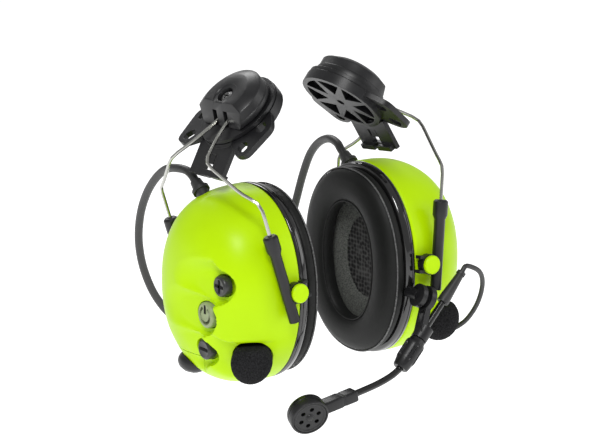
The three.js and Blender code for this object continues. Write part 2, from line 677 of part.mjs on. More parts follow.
function windscreen(turn) {
  return cut(screenSolid(turn), cupBody(GAP));
}

function ambientMic(turn) {
  return toSolid(moved(rod(MIC_RADIUS, -MIC_LENGTH - 3, -3), micFrame(turn)));
}

function button({ y, z, radius, face }, turn) {
  return toSolid(turned([
    [0, face - BUTTON_LENGTH], [radius, face - BUTTON_LENGTH], [radius, face - 0.8],
    [radius - 0.8, face], [0, face],
  ], 20).rotateY(Math.PI / 2).translate(0, turn * y, z));
}

function talkButton(turn) {
  const { y, z, half, face, thick } = TALK_BUTTON;
  const [w, h] = half;
  return toSolid(ovalLoft([
    [face - thick, w, h], [face - 1.6, w, h], [face, w - 2, h - 2],
  ], false, 20).translate(0, turn * y, z));
}

// ---------------------------------------------------------------- boom microphone
const towardsNeck = BOOM_NECK.clone().sub(BOOM_PIVOT);
const FORK_LENGTH = towardsNeck.length();
towardsNeck.normalize();
const boomAxis = new THREE.Vector3(1, 0, 0);
boomAxis.addScaledVector(towardsNeck, -boomAxis.dot(towardsNeck)).normalize();
const boomFrame = new THREE.Matrix4()
  .makeBasis(towardsNeck, boomAxis.clone().cross(towardsNeck), boomAxis)
  .setPosition(BOOM_PIVOT);
const onBoom = (distance) => BOOM_NECK.clone().addScaledVector(BOOM_AIM, distance);
const rodFrame = along(BOOM_NECK, BOOM_AIM);
const NUT_START = NECK_LENGTH / 2 + GAP;
const SLEEVE_START = ROD_ABOVE + GAP;

function boomMount() {
  const barrel = toSolid(moved(rod(BARREL_RADIUS, -BARREL_IN - 1, BARREL_OUT, 16), boomFrame));
  const knob = toSolid(moved(rod(KNOB_RADIUS, -BARREL_IN - KNOB_THICK, -BARREL_IN, 20), boomFrame));
  const heel = BOOM_PIVOT.clone().addScaledVector(boomAxis, -BARREL_IN - KNOB_THICK / 2);
  const foot = toSolid(moved(rod(MOUNT_FOOT_RADIUS, 0, 12), along(heel, new THREE.Vector3(0, 1, 0),
    new THREE.Vector3(1, 0, 0))));
  return cut(join(barrel, knob, foot), cupBody(GAP, PLATE_DEPTH + CUSHION_DEPTH));
}

function boomFork() {
  const tip = FORK_LENGTH;
  const shape = new THREE.Shape();
  shape.absarc(0, 0, FORK_EYE, 0.5, 2 * Math.PI - 0.5, false);
  shape.lineTo(tip, -FORK_TIP_HALF);
  shape.lineTo(tip, FORK_TIP_HALF);
  shape.closePath();
  const slot = new THREE.Path();
  const slotStart = BARREL_RADIUS + 3;
  const slotEnd = tip - NECK_RADIUS - 1;
  slot.moveTo(slotStart, -FORK_SLOT / 2);
  slot.lineTo(slotEnd, -FORK_SLOT / 4);
  slot.lineTo(slotEnd, FORK_SLOT / 4);
  slot.lineTo(slotStart, FORK_SLOT / 2);
  slot.closePath();
  const eye = new THREE.Path();
  eye.absarc(0, 0, BARREL_RADIUS + RUN, 0, 2 * Math.PI, false);
  shape.holes.push(slot, eye);
  const plate = toSolid(moved(slab(shape, -FORK_THICK, 0, 9), boomFrame));
  const neck = toSolid(moved(rod(NECK_RADIUS, -NECK_LENGTH / 2, NECK_LENGTH / 2, 18), rodFrame));
  const bore = toSolid(moved(rod(ROD_RADIUS + RUN, -ROD_ABOVE, NECK_LENGTH, 10), rodFrame));
  return cut(join(plate, neck), bore);
}

function gripNut() {
  const end = NUT_START + NUT_LENGTH;
  const body = toSolid(moved(turned([
    [0, NUT_START], [NUT_END_RADIUS, NUT_START], [NUT_RADIUS, NUT_START + 3], [NUT_RADIUS, end - 5],
    [NUT_END_RADIUS, end], [0, end],
  ], 18), rodFrame));
  return cut(body, toSolid(moved(rod(ROD_RADIUS + RUN, 0, end + 1, 10), rodFrame)));
}

function gooseneck() {
  const neckAim = CAPSULE_CENTRE.clone().sub(MIC_NECK_START).normalize();
  const inside = MIC_NECK_START.clone().addScaledVector(neckAim, ROD_IN_MIC_NECK - GAP);
  const straightEnd = NUT_START + NUT_LENGTH + 1;
  const curve = new THREE.CatmullRomCurve3([
    onBoom(straightEnd), ...GOOSENECK_BENDS.map(vector), MIC_NECK_START, inside,
  ], false, 'centripetal');
  const path = new THREE.CurvePath();
  path.add(new THREE.LineCurve3(onBoom(-ROD_ABOVE), onBoom(straightEnd)));
  path.add(curve);
  return tube(path, ROD_RADIUS, 8, 32);
}

function boomSleeve() {
  const [wide, narrow] = SLEEVE_RADII;
  const end = -SLEEVE_START - SLEEVE_LENGTH;
  return toSolid(moved(turned([
    [0, end], [narrow + 0.4, end], [narrow + 0.4, end + 2], [narrow, end + 2],
    [wide, -SLEEVE_START - 3], [wide, -SLEEVE_START], [0, -SLEEVE_START],
  ], 14), rodFrame));
}

function leadPoints() {
  const start = onBoom(-SLEEVE_START - SLEEVE_LENGTH - GAP);
  const next = onBoom(-SLEEVE_START - SLEEVE_LENGTH - 4);
  const frame = leadGlandFrame();
  const end = new THREE.Vector3(0, 0, 5 + GAP).applyMatrix4(frame);
  const before = new THREE.Vector3(0, 0, 9).applyMatrix4(frame);
  return [start, next, ...LEAD_ROUTE.map(vector), before, end];
}

function boomLead() {
  return tube(new THREE.CatmullRomCurve3(leadPoints(), false, 'centripetal'), LEAD_RADIUS, 8, 26);
}

const capsuleFrame = along(CAPSULE_CENTRE, CAPSULE_FACE);
const CAPSULE_FRONT = CAPSULE_DEPTH / 2;
const GRILLE_SEAT = CAPSULE_FRONT - GRILLE_THICK - GAP;

function capsuleBody(grow) {
  const radius = CAPSULE_RADIUS + grow;
  const back = -CAPSULE_DEPTH / 2 - grow;
  return turned([
    [0, back], [radius - 2, back], [radius, back + 2], [radius, CAPSULE_FRONT - 1 + grow],
    [radius - 0.8, CAPSULE_FRONT + grow], [0, CAPSULE_FRONT + grow],
  ], 26);
}

function micHousing() {
  const grille = rod(CAPSULE_RADIUS - 1.4 + GAP, GRILLE_SEAT - 0.01, CAPSULE_FRONT + 1, 26);
  const chamber = rod(CAPSULE_RADIUS - 2.6, -CAPSULE_DEPTH / 2 + 2, CAPSULE_FRONT, 26);
  return toSolid(moved(toGeometry(cut(toSolid(capsuleBody(0)), toSolid(grille), toSolid(chamber))), capsuleFrame));
}

function micGrille() {
  const low = GRILLE_SEAT + GAP;
  let disc = toSolid(rod(CAPSULE_RADIUS - 1.4, low, CAPSULE_FRONT - 0.2, 26));
  for (let i = 0; i < GRILLE_HOLES; i += 1) {
    const angle = (2 * Math.PI * i) / GRILLE_HOLES;
    const hole = rod(GRILLE_HOLE, low - 1, CAPSULE_FRONT + 1, 8)
      .translate(GRILLE_PITCH * Math.cos(angle), GRILLE_PITCH * Math.sin(angle), 0);
    disc = cut(disc, toSolid(hole));
  }
  const boss = toSolid(rod(1.6, low + 0.2, CAPSULE_FRONT + 0.4, 10));
  return toSolid(moved(toGeometry(join(disc, boss)), capsuleFrame));
}

function micInsert() {
  const low = -CAPSULE_DEPTH / 2 + 2 + GAP;
  return toSolid(moved(rod(CAPSULE_RADIUS - 4.5, low, GRILLE_SEAT - GAP, 24), capsuleFrame));
}

function micNeck() {
  const aim = CAPSULE_CENTRE.clone().sub(MIC_NECK_START);
  const length = aim.length() - 2;
  const frame = along(MIC_NECK_START, aim);
  const [wide, thick] = MIC_NECK;
  const bar = toSolid(moved(block(wide, thick, length, 0, 0, length / 2), frame));
  const bore = toSolid(moved(rod(ROD_RADIUS + RUN, -1, ROD_IN_MIC_NECK, 16), frame));
  return cut(bar, bore, toSolid(moved(capsuleBody(GAP), capsuleFrame)));
}

// ---------------------------------------------------------------- putting the two halves together
function buildHalf(name, spec) {
  const { turn, lean, hubTilt, hubRoll } = spec;
  const half = new THREE.Group();
  half.rotation.z = turn > 0 ? 0 : Math.PI;
  cupLevel.add(half);

  const yoke = new THREE.Group();
  yoke.name = `${name}_yoke_frame`;
  yoke.position.set(PIVOT_X, 0, 0);
  yoke.rotation.set(-turn * PIVOT_ROLL * DEG, lean * DEG, 0);
  yoke.updateMatrix();
  half.add(yoke);

  // in the half's own frame +y faces back on the left side and forward on the right
  const ends = { front: -turn, rear: turn };
  for (const [end, side] of Object.entries(ends)) {
    place(yoke, `${name}_${end}_wire`, wire(side), MATERIALS.wire());
    place(yoke, `${name}_${end}_socket`, socket(side), MATERIALS.blackPlastic());
    place(yoke, `${name}_${end}_pivot_cap`, pivotCap(side), MATERIALS.hiVis());
  }

  // the hub's slots are where the wires end
  const [front, rear] = [-1, 1].map((side) => wirePoints(side).at(-1));
  const root = front.add(rear).multiplyScalar(0.5).applyMatrix4(yoke.matrix);
  const hub = new THREE.Group();
  hub.name = `${name}_hub_frame`;
  hub.rotation.set(turn * hubRoll * DEG, (90 - hubTilt) * DEG, 0);
  hub.updateMatrix();
  const slot = new THREE.Vector3(HUB_SLOT_X, 0, HUB_SLOT_Z).applyMatrix4(hub.matrix);
  hub.position.copy(root).sub(slot);
  half.add(hub);
  place(hub, `${name}_adapter_base`, adapterBase(), MATERIALS.blackPlastic());
  place(hub, `${name}_hub_ring`, hubRing(), MATERIALS.blackPlastic());
  place(hub, `${name}_hub_cap`, hubCap(), MATERIALS.blackPlastic());
  place(hub, `${name}_hub_screw`, hubScrew(), MATERIALS.screw());

  let shell = cupShell(turn, spec, yoke.matrix);
  if (!spec.talk) {
    const door = shell.intersect(doorRegion(0));
    shell = cut(shell, doorRegion(GAP));
    place(half, `${name}_battery_door`, door, MATERIALS.hiVis());
    place(half, `${name}_battery_latch`, latch(), MATERIALS.blackPlastic());
    for (const [button_name, size] of Object.entries(BUTTONS)) {
      const finish = button_name === 'power_button' ? MATERIALS.translucent() : MATERIALS.blackPlastic();
      place(half, button_name, button(size, turn), finish);
    }
    for (const [cell, [x, y]] of Object.entries(CELLS)) {
      place(half, cell, rod(CELL_RADIUS, -CELL_LENGTH / 2, CELL_LENGTH / 2, 24).translate(x, turn * y, 0),
        MATERIALS.cell());
    }
    place(half, 'circuit_board', block(...BOARD, BOARD_X + BOARD[0] / 2, 0, 0), MATERIALS.board());
  } else {
    place(half, 'talk_button', talkButton(turn), MATERIALS.blackPlastic());
    place(half, 'lead_gland', leadGland(), MATERIALS.rubber());
  }
  place(half, `${name}_cup_shell`, shell, MATERIALS.hiVis());
  place(half, `${name}_base_plate`, basePlate(), MATERIALS.glossBlack());
  place(half, `${name}_cushion`, cushion(), MATERIALS.leatherette());
  place(half, `${name}_foam_liner`, foamLiner(), MATERIALS.greyFoam());
  place(half, `${name}_speaker`, speaker(), MATERIALS.blackPlastic());
  place(half, `${name}_cable_gland`, cableGland(spec, turn), MATERIALS.rubber());
  place(half, `${name}_windscreen`, windscreen(turn), MATERIALS.blackFoam());
  place(half, `${name}_ambient_mic`, ambientMic(turn), MATERIALS.screw());
}

for (const [name, spec] of Object.entries(SIDES)) buildHalf(name, spec);

place(cupLevel, 'boom_mount', boomMount(), MATERIALS.blackPlastic());
place(cupLevel, 'boom_fork', boomFork(), MATERIALS.blackPlastic());
place(cupLevel, 'boom_grip_nut', gripNut(), MATERIALS.blackPlastic());
place(cupLevel, 'boom_gooseneck', gooseneck(), MATERIALS.blackPlastic());
place(cupLevel, 'boom_sleeve', boomSleeve(), MATERIALS.rubber());
place(cupLevel, 'boom_lead', boomLead(), MATERIALS.rubber());
place(cupLevel, 'mic_neck', micNeck(), MATERIALS.blackPlastic());
place(cupLevel, 'mic_housing', micHousing(), MATERIALS.blackPlastic());
place(cupLevel, 'mic_grille', micGrille(), MATERIALS.blackPlastic());
place(cupLevel, 'mic_insert', micInsert(), MATERIALS.blackFoam());

// the neck cable runs from the end of one gland to the end of the other
function beyondGland(name, distance) {
  const spec = SIDES[name];
  const point = new THREE.Vector3(0, 0, GLAND_LENGTH + distance).applyMatrix4(glandFrame(spec, spec.turn));
  return spec.turn > 0 ? point : point.applyAxisAngle(new THREE.Vector3(0, 0, 1), Math.PI);
}

const neckCurve = new THREE.CatmullRomCurve3([
  beyondGland('right', GAP), beyondGland('right', CABLE_LEAD), ...NECK_ROUTE.map(vector),
  beyondGland('left', CABLE_LEAD), beyondGland('left', GAP),
], false, 'centripetal');
place(cupLevel, 'neck_cable', tube(neckCurve, CABLE_RADIUS, 8, 52), MATERIALS.rubber());

export default headset;
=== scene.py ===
"""Helmet-mounted communication ear muffs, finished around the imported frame. Metres, row frame."""

import json
import math

import bmesh
import bpy
from mathutils import Matrix, Vector, noise


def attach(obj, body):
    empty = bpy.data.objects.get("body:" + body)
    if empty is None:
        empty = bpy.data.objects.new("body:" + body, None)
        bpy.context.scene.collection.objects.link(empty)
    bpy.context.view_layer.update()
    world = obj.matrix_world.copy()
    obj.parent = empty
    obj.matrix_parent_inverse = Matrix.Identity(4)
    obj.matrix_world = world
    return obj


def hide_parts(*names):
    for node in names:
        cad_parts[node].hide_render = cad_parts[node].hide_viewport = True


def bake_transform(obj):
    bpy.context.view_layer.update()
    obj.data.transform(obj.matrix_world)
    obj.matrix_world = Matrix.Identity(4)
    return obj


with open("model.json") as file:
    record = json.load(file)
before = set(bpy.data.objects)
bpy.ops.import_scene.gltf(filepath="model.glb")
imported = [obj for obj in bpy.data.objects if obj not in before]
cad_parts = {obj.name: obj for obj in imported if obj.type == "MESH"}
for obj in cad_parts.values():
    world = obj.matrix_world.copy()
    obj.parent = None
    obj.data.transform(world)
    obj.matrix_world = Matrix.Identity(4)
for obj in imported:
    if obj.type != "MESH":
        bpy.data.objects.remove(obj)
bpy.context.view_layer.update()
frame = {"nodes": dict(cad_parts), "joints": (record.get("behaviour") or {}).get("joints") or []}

bl_info = {
    "name": "Communication ear muffs",
    "version": (1, 0, 0),
    "blender": (4, 5, 0),
    "location": "View3D > Sidebar > Ear muffs",
    "description": "Builds the cups, cushions, hubs, boom and cables around the packed frame",
    "category": "Object",
}

MM = 0.001
CUP_LEVEL = -0.096  # height of the cup centres
OUTWARD = {"left": 1, "right": -1}
JOINTS = {joint["name"]: joint for joint in frame["joints"]}

# cup, from the mid-plane outward
OVAL = 2.15
HALF_WIDTH = 44.1 * MM
HALF_HEIGHT = 55 * MM
PARTING = 39.7 * MM
DEPTH = 47 * MM
CROWN = 2.9
PLATE_INNER = 33.6 * MM
PLATE_OPENING = (31 * MM, 42 * MM)
PLATE_EDGE = (  # millimetres behind the plate's front, and in from the cup's edge
    (0, 1.6), (0.3, 0.9), (1.1, 0.4), (2.4, 0.15), (3.5, 0.1), (3.8, 0.5), (4.1, 0.5), (4.4, 0),
    (5.3, 0), (5.8, 0.5),
)
CUSHION_BACK = 33.3 * MM
CUSHION_DEPTH = 10.8 * MM
CUSHION_OUTER = (43.4 * MM, 53.3 * MM)  # half width and half height
CUSHION_OPENING = (21.8 * MM, 33.2 * MM)
CUSHION_INSET = 0.3 * MM  # room for the cover's swell
CUSHION_GRAIN = 1.7 * MM  # spacing of the cloth's points
CUSHION_HELD = 1.2 * MM  # depth of the edge held on the plate
CUSHION_SEAMS = (  # depth behind the front, half width, half height, material index (index 1 paints a highlight along the outer seam)
    (5.2 * MM, 43 * MM, 52.9 * MM, 1),
    (2.6 * MM, 23 * MM, 34.4 * MM, 0),
)
LINER_HALF = (30.4 * MM, 41.4 * MM)
LINER_FRONT = 35.7 * MM
LINER_BACK = 44 * MM
LINER_DISH = 2.9 * MM
LINER_MESH_SHARE = 0.56  # of the way from the liner's middle to its rim
SHELL_WALL = 2.5 * MM
OUTSIDE = 0.1  # far enough out for any cut to leave the shell
BUTTONS = {  # y, z, radius and top
    "plus_button": (-25 * MM, 9.7 * MM, 5.9 * MM, 82.2 * MM),
    "power_button": (-14.6 * MM, -8.7 * MM, 7.3 * MM, 84.4 * MM),
    "minus_button": (-9.4 * MM, -30 * MM, 5.9 * MM, 82 * MM),
}
KEY_SINK = 2 * MM  # how far the dished key faces lie below the keys' top
KEY_BACK = 7 * MM  # from a key's face to its back
KEY_GAP = 0.5 * MM
KEY_BORE = 9 * MM  # from a key's top to the end of its bore
WELL_WALL = 3 * MM
WELL_DEPTH = 11 * MM
MARK_HALF = 0.8 * MM  # half the width of a mark's line
MARK_FOOT = -0.3 * MM
MARK_TOP = 0.25 * MM
MARK_DROP = 0.25 * MM  # below the key's rim
MARK_REACH = 0.64  # shares of the key's radius
POWER_RING = (0.49, 0.71)
POWER_BAR = (0.8, 0.12)
POWER_OPENING = 62  # degrees

# hollow round the keys
BASIN_FROM = 60 * MM  # it works on the shell outside this
BASIN_EDGE = 2.1 * MM
BASIN_STEEP = 2 * MM
BASIN_SOFT = 6 * MM
BASIN_TRAIL = 2.2  # how much longer it is behind a key
BASIN_TURN = (-3 * MM, 6 * MM)  # from steep to soft
BASIN_FADE = (-20 * MM, 14 * MM)
BASIN_LEAST = 0.3

# hollow round the windscreen, and its lip
SHELF_DEPTH = 4 * MM
SHELF_REACH = 10 * MM
SHELF_LIP = -21.3 * MM
SHELF_LIP_RISE = 5 * MM
SHELF_LIP_SPAN = (-30 * MM, -18 * MM)
SHELF_LIP_SOFT = 1 * MM
SHELF_FOOT = (-60 * MM, -36 * MM)
SHELF_FROM = (50 * MM, 64 * MM)

# soft dip over the cup's top, and the shell's rounded edge
DIP = (61 * MM, -14 * MM)
DIP_SPREAD = (12 * MM, 13 * MM)
DIP_DEPTH = 1.7 * MM
EDGE_INSET = 0.012  # share of the cup's size
EDGE_HEIGHT = 0.9 * MM
HOLLOW_SINK = 0.4 * MM  # takes the hollow clear through the parting face

WINDSCREEN = Vector((65, -34, -33.5)) * MM
WINDSCREEN_RADII = Vector((12.3, 9.3, 12.3)) * MM
FOAM_GAP = 0.7 * MM
FOAM_SHOULDER = 8.6 * MM  # above this the foam is pressed flatter
FOAM_FLATNESS = 0.25
FOAM_ROUGHNESS = 0.12 * MM
FOAM_CELL = 0.9 * MM
DOOR_LOW = Vector((58, -4, -60)) * MM
DOOR_HIGH = Vector((80, 30, -36)) * MM
DOOR_GAP = 0.3 * MM
TALK = (-7 * MM, -4 * MM, 13.4 * MM, 25.4 * MM, 79.8 * MM)  # y, z, half width, half height, floor

# stage
CAMERA_TURN = -36  # degrees round from the front
CAMERA_RISE = 16
CAMERA_REACH = 1.65
CAMERA_TARGET = Vector((-0.0012, 0.0093, -0.0721))
SENSOR = 36
LENS = 176.7
FLOOR_LEVEL = -0.42
FLOOR_HALF = 40
FLOOR_GLOW = 0.62
SKY = 0.42
LIGHT_TARGET = Vector((0, 0, -0.08))
LIGHTS = (  # name, place, size, power
    ("key", (-0.9, -1.0, 1.3), 0.5, 19),
    ("fill", (1.3, -1.1, 0.5), 0.9, 5),
    ("rim", (0.5, 1.3, 1.0), 0.8, 9),
)
WHITE = (1, 1, 1, 1)

# routes of the cords in millimetres, from the mid-point between the cup centres
NECK_ROUTE = [
    (-61, 24.94, 54.79), (-61, 27.9, 57.01), (-61, 33, 58.8), (-61, 46, 57.6), (-59.5, 58, 53.5),
    (-57.5, 72, 44), (-54, 87, 30), (-50, 99, 14), (-45, 108, -4), (-38, 113.5, -23),
    (-28, 116, -42), (-15, 116, -57), (2, 112, -65), (19, 106, -62), (34, 100, -49),
    (45, 96, -29), (51.5, 93.5, -8), (54.5, 90, 10), (55, 83.5, 28), (54, 75, 42),
    (52.5, 65.5, 50.5), (50.5, 55, 55.6), (48.5, 46, 57.4), (47.3, 39, 56.4),
    (46.5, 35.4, 54.46), (46.5, 32.44, 52.24),
]
LEAD_ROUTE = [
    (63.64, -55.3, 0.06), (66.31, -54.98, 2.6), (72.8, -54.6, 0.4), (79.6, -52, -4.4),
    (84.6, -48, -12), (87, -43, -22), (87.2, -37, -32), (85, -30.5, -40.5),
    (79.96, -23.56, -45.45), (77.92, -21.89, -42.85),
]
BEND_ROUTE = [(10, -61.7, -48.4), (0.5, -61.8, -51.2), (-15.5, -61.3, -54.2), (-19.5, -61.15, -54.85)]
CAPSULE_CENTRE = (-46.7, -60, -59.3)
ARM_CHAIN = [
    "right_cup", "right_sockets", "right_arm", "right_hub", "adapters",
    "left_hub", "left_arm", "left_sockets", "left_cup",
]
LEAD_CHAIN = ["boom_arm", "boom_fork_body", "left_cup"]


# ---------------------------------------------------------------- settings
class HeadsetSizes(bpy.types.PropertyGroup):
    """Sizes that a user would change."""

    neck_cable: bpy.props.FloatProperty(
        name="Neck cable", description="Diameter of the cable behind the neck",
        default=4.8 * MM, unit="LENGTH")
    boom_lead: bpy.props.FloatProperty(
        name="Boom lead", description="Diameter of the microphone's lead",
        default=2.8 * MM, unit="LENGTH")
    cushion_swell: bpy.props.FloatProperty(
        name="Cushion swell", description="Most that the cushion's cover may swell",
        default=0.7 * MM, unit="LENGTH")
    seam: bpy.props.FloatProperty(
        name="Seam", description="Radius of the cushion's welded seams",
        default=0.5 * MM, unit="LENGTH")
    basin: bpy.props.FloatProperty(
        name="Key basin", description="Depth of the hollow round the keys",
        default=6.4 * MM, unit="LENGTH")


class HeadsetColours(bpy.types.PropertyGroup):
    """Colours of the main finishes."""

    shell: bpy.props.FloatVectorProperty(
        name="Shell", description="High-visibility shell",
        subtype="COLOR", default=(0.47, 0.76, 0.0))
    plastic: bpy.props.FloatVectorProperty(
        name="Plastic", description="Black moulded parts",
        subtype="COLOR", default=(0.009, 0.009, 0.01))
    cover: bpy.props.FloatVectorProperty(
        name="Cushion cover", description="Leatherette of the cushions",
        subtype="COLOR", default=(0.008, 0.0085, 0.008))


# ---------------------------------------------------------------- finishes
def finish(name, colour, roughness, metallic=0.0, grain=0.0, grain_size=0.5, mottle=0.0, mottle_size=12.0,
           wear=0.0, coat=0.0, sheen=0.0, cells=False, woven=False, edge=0.0, specular=0.5):
    """A procedural finish on Object coordinates: grain in the surface, mottled colour and roughness.

    grain is the bump's height and grain_size its scale, both in millimetres; mottle is the share by
    which colour varies and wear by which roughness does; edge rounds corners by so many millimetres."""
    name += "_finish"
    material = bpy.data.materials.get(name)
    if material:
        return material
    material = bpy.data.materials.new(name)
    material.use_nodes = True
    tree = material.node_tree
    shader = tree.nodes["Principled BSDF"]
    shader.inputs["Metallic"].default_value = metallic
    shader.inputs["Coat Weight"].default_value = coat
    shader.inputs["Coat Roughness"].default_value = 0.08
    shader.inputs["Sheen Weight"].default_value = sheen
    shader.inputs["Sheen Roughness"].default_value = 0.4
    shader.inputs["Specular IOR Level"].default_value = specular
    place = tree.nodes.new("ShaderNodeTexCoord").outputs["Object"]

    broad = tree.nodes.new("ShaderNodeTexVoronoi" if woven else "ShaderNodeTexNoise")
    broad.inputs["Scale"].default_value = 1 / (mottle_size * MM)
    if woven:
        broad.inputs["Randomness"].default_value = 0.4
    else:
        broad.inputs["Detail"].default_value = 5
    tree.links.new(place, broad.inputs["Vector"])
    shade = broad.outputs["Distance" if woven else "Fac"]
    ramp = tree.nodes.new("ShaderNodeValToRGB")
    ramp.color_ramp.elements[0].position = 0.3
    ramp.color_ramp.elements[1].position = 0.7
    ramp.color_ramp.elements[0].color = [channel * (1 - mottle) for channel in colour] + [1]
    ramp.color_ramp.elements[1].color = [min(1, channel * (1 + mottle)) for channel in colour] + [1]
    tree.links.new(shade, ramp.inputs["Fac"])
    tree.links.new(ramp.outputs["Color"], shader.inputs["Base Color"])
    spread = tree.nodes.new("ShaderNodeMapRange")
    spread.inputs["To Min"].default_value = max(0.02, roughness * (1 - wear))
    spread.inputs["To Max"].default_value = min(1, roughness * (1 + wear))
    tree.links.new(shade, spread.inputs["Value"])
    tree.links.new(spread.outputs["Result"], shader.inputs["Roughness"])

    normal = None
    if edge:
        rounding = tree.nodes.new("ShaderNodeBevel")
        rounding.samples = 4
        rounding.inputs["Radius"].default_value = edge * MM
        normal = rounding.outputs["Normal"]
    if grain:
        fine = tree.nodes.new("ShaderNodeTexVoronoi" if cells else "ShaderNodeTexNoise")
        fine.inputs["Scale"].default_value = 1 / (grain_size * MM)
        if not cells:
            fine.inputs["Detail"].default_value = 3
        tree.links.new(place, fine.inputs["Vector"])
        bump = tree.nodes.new("ShaderNodeBump")
        bump.inputs["Distance"].default_value = grain * MM
        bump.inputs["Strength"].default_value = 1
        tree.links.new(fine.outputs["Distance" if cells else "Fac"], bump.inputs["Height"])
        if normal:
            tree.links.new(normal, bump.inputs["Normal"])
        normal = bump.outputs["Normal"]
    if normal:
        tree.links.new(normal, shader.inputs["Normal"])
    return material


def hi_vis():
    colour = list(bpy.context.scene.headset_colours.shell)
    return finish("hi_vis_shell", colour, 0.34, grain=0.012, grain_size=0.6, mottle=0.03, mottle_size=25,
                  wear=0.18, specular=0.16)


def hi_vis_edged():
    colour = list(bpy.context.scene.headset_colours.shell)
    return finish("hi_vis_small_parts", colour, 0.36, grain=0.01, grain_size=0.5, mottle=0.03, wear=0.15,
                  edge=0.35, specular=0.16)


def plastic():
    colour = list(bpy.context.scene.headset_colours.plastic)
    return finish("black_plastic", colour, 0.36, grain=0.025, grain_size=0.4, mottle=0.25, mottle_size=7,
                  wear=0.3, edge=0.4, specular=0.42)


def gloss():
    return finish("gloss_black", (0.008, 0.008, 0.008), 0.09, grain=0.002, grain_size=2, mottle=0.1, wear=0.3,
                  coat=0.6)


def cover():
    colour = list(bpy.context.scene.headset_colours.cover)
    return finish("leatherette", colour, 0.52, grain=0.05, grain_size=0.55, mottle=0.12, mottle_size=8,
                  wear=0.12, sheen=0.02, cells=True, specular=0.22)


# the seam's light speckled colour is a painted highlight along the cushion's outer edge, not the
# leatherette's own colour
def painted_seam_highlight():
    return finish("seam_painted_highlight", (0.09, 0.09, 0.09), 0.4, grain=0.1, grain_size=0.6, mottle=0.85,
                  mottle_size=0.9, wear=0.3)


def rubber():
    return finish("cable_rubber", (0.022, 0.022, 0.022), 0.46, grain=0.01, grain_size=0.4, mottle=0.15,
                  mottle_size=6, wear=0.2, edge=0.3)


def foam():
    return finish("black_foam", (0.016, 0.016, 0.017), 0.95, grain=0.35, grain_size=1.1, mottle=0.7,
                  mottle_size=0.7, cells=True, specular=0.08)


def mesh_liner():
    return finish("lining_mesh", (0.035, 0.035, 0.034), 0.7, grain=0.3, grain_size=2.5, mottle=0.95,
                  mottle_size=2.5, cells=True, woven=True, specular=0.35)


def grey_foam():
    return finish("grey_foam", (0.11, 0.115, 0.105), 0.95, grain=0.2, grain_size=0.8, mottle=0.6,
                  mottle_size=0.7, cells=True, specular=0.2)


def steel():
    return finish("spring_steel", (0.46, 0.46, 0.43), 0.2, metallic=1, grain=0.006, grain_size=0.25,
                  mottle=0.1, wear=0.3)


def screw_steel():
    return finish("plated_screw", (0.18, 0.18, 0.18), 0.35, metallic=1, grain=0.01, grain_size=0.3,
                  mottle=0.2, wear=0.3, edge=0.15)


def translucent():
    return finish("key_translucent", (0.27, 0.33, 0.16), 0.36, grain=0.02, grain_size=0.4, mottle=0.12,
                  mottle_size=3, wear=0.2)


def key_plastic():
    return finish("key_black", (0.03, 0.031, 0.03), 0.3, grain=0.012, grain_size=0.3, mottle=0.15, wear=0.25)


def key_mark():
    return finish("key_mark", (0.004, 0.004, 0.004), 0.6, grain=0.01, grain_size=0.4, mottle=0.2, wear=0.2,
                  specular=0.12)


def board_green():
    return finish("board_green", (0.012, 0.1, 0.035), 0.4, grain=0.02, grain_size=0.6, mottle=0.3, wear=0.2)


def cell_sleeve():
    return finish("cell_sleeve", (0.32, 0.27, 0.15), 0.35, metallic=0.6, grain=0.01, grain_size=0.5,
                  mottle=0.1, wear=0.2)


def rod_finish():
    return finish("boom_satin", (0.012, 0.012, 0.012), 0.22, grain=0.004, grain_size=0.5, mottle=0.1,
                  wear=0.2)


# ---------------------------------------------------------------- mesh helpers
def piece(name, bm, materials, body, replaces=(), smooth=40):
    """A finished mesh object from a bmesh, riding on a body and standing for CAD nodes."""
    mesh = bpy.data.meshes.new(name)
    bm.to_mesh(mesh)
    bm.free()
    for material in materials:
        mesh.materials.append(material)
    obj = bpy.data.objects.new(name, mesh)
    bpy.context.scene.collection.objects.link(obj)
    smooth_faces(mesh, smooth)
    if body:
        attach(obj, body)
    if replaces:
        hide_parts(*replaces)
    return obj


def smooth_faces(mesh, angle):
    """Smooth shading with sharp edges where faces meet at more than so many degrees."""
    mesh.shade_smooth()
    mesh.set_sharp_from_angle(angle=math.radians(angle))


def on_oval(half_width, half_height, angle):
    c, s = math.cos(angle), math.sin(angle)
    return (math.copysign(half_width * abs(c) ** (2 / OVAL), c),
            math.copysign(half_height * abs(s) ** (2 / OVAL), s))


def oval_loft(stations, count=96, closed=False):
    """Oval rings bridged along x. Each station is (x, half width, half height) in metres."""
    bm = bmesh.new()
    rings = []
    for x, half_width, half_height in stations:
        ring = bmesh.ops.create_circle(bm, cap_ends=False, radius=1, segments=count)["verts"]
        for vert in ring:
            y, z = on_oval(half_width, half_height, math.atan2(vert.co.y, vert.co.x))
            vert.co = (x, y, z)
        rings.append([edge for edge in {edge for vert in ring for edge in vert.link_edges}])
    for first, second in zip(rings, rings[1:]):
        bmesh.ops.bridge_loops(bm, edges=first + second)
    if closed:
        bmesh.ops.bridge_loops(bm, edges=rings[-1] + rings[0])
    else:
        bmesh.ops.holes_fill(bm, edges=rings[0] + rings[-1], sides=0)
    bmesh.ops.recalc_face_normals(bm, faces=bm.faces)
    return bm


def to_cup(bm, side):
    """Moves a shape made at the left cup's centre, x outward, to its place on a cup."""
    bm.transform(Matrix.Translation((0, 0, CUP_LEVEL)))
    if OUTWARD[side] < 0:
        bm.transform(Matrix.Scale(-1, 4, (1, 0, 0)))
        bmesh.ops.reverse_faces(bm, faces=bm.faces)
    return bm


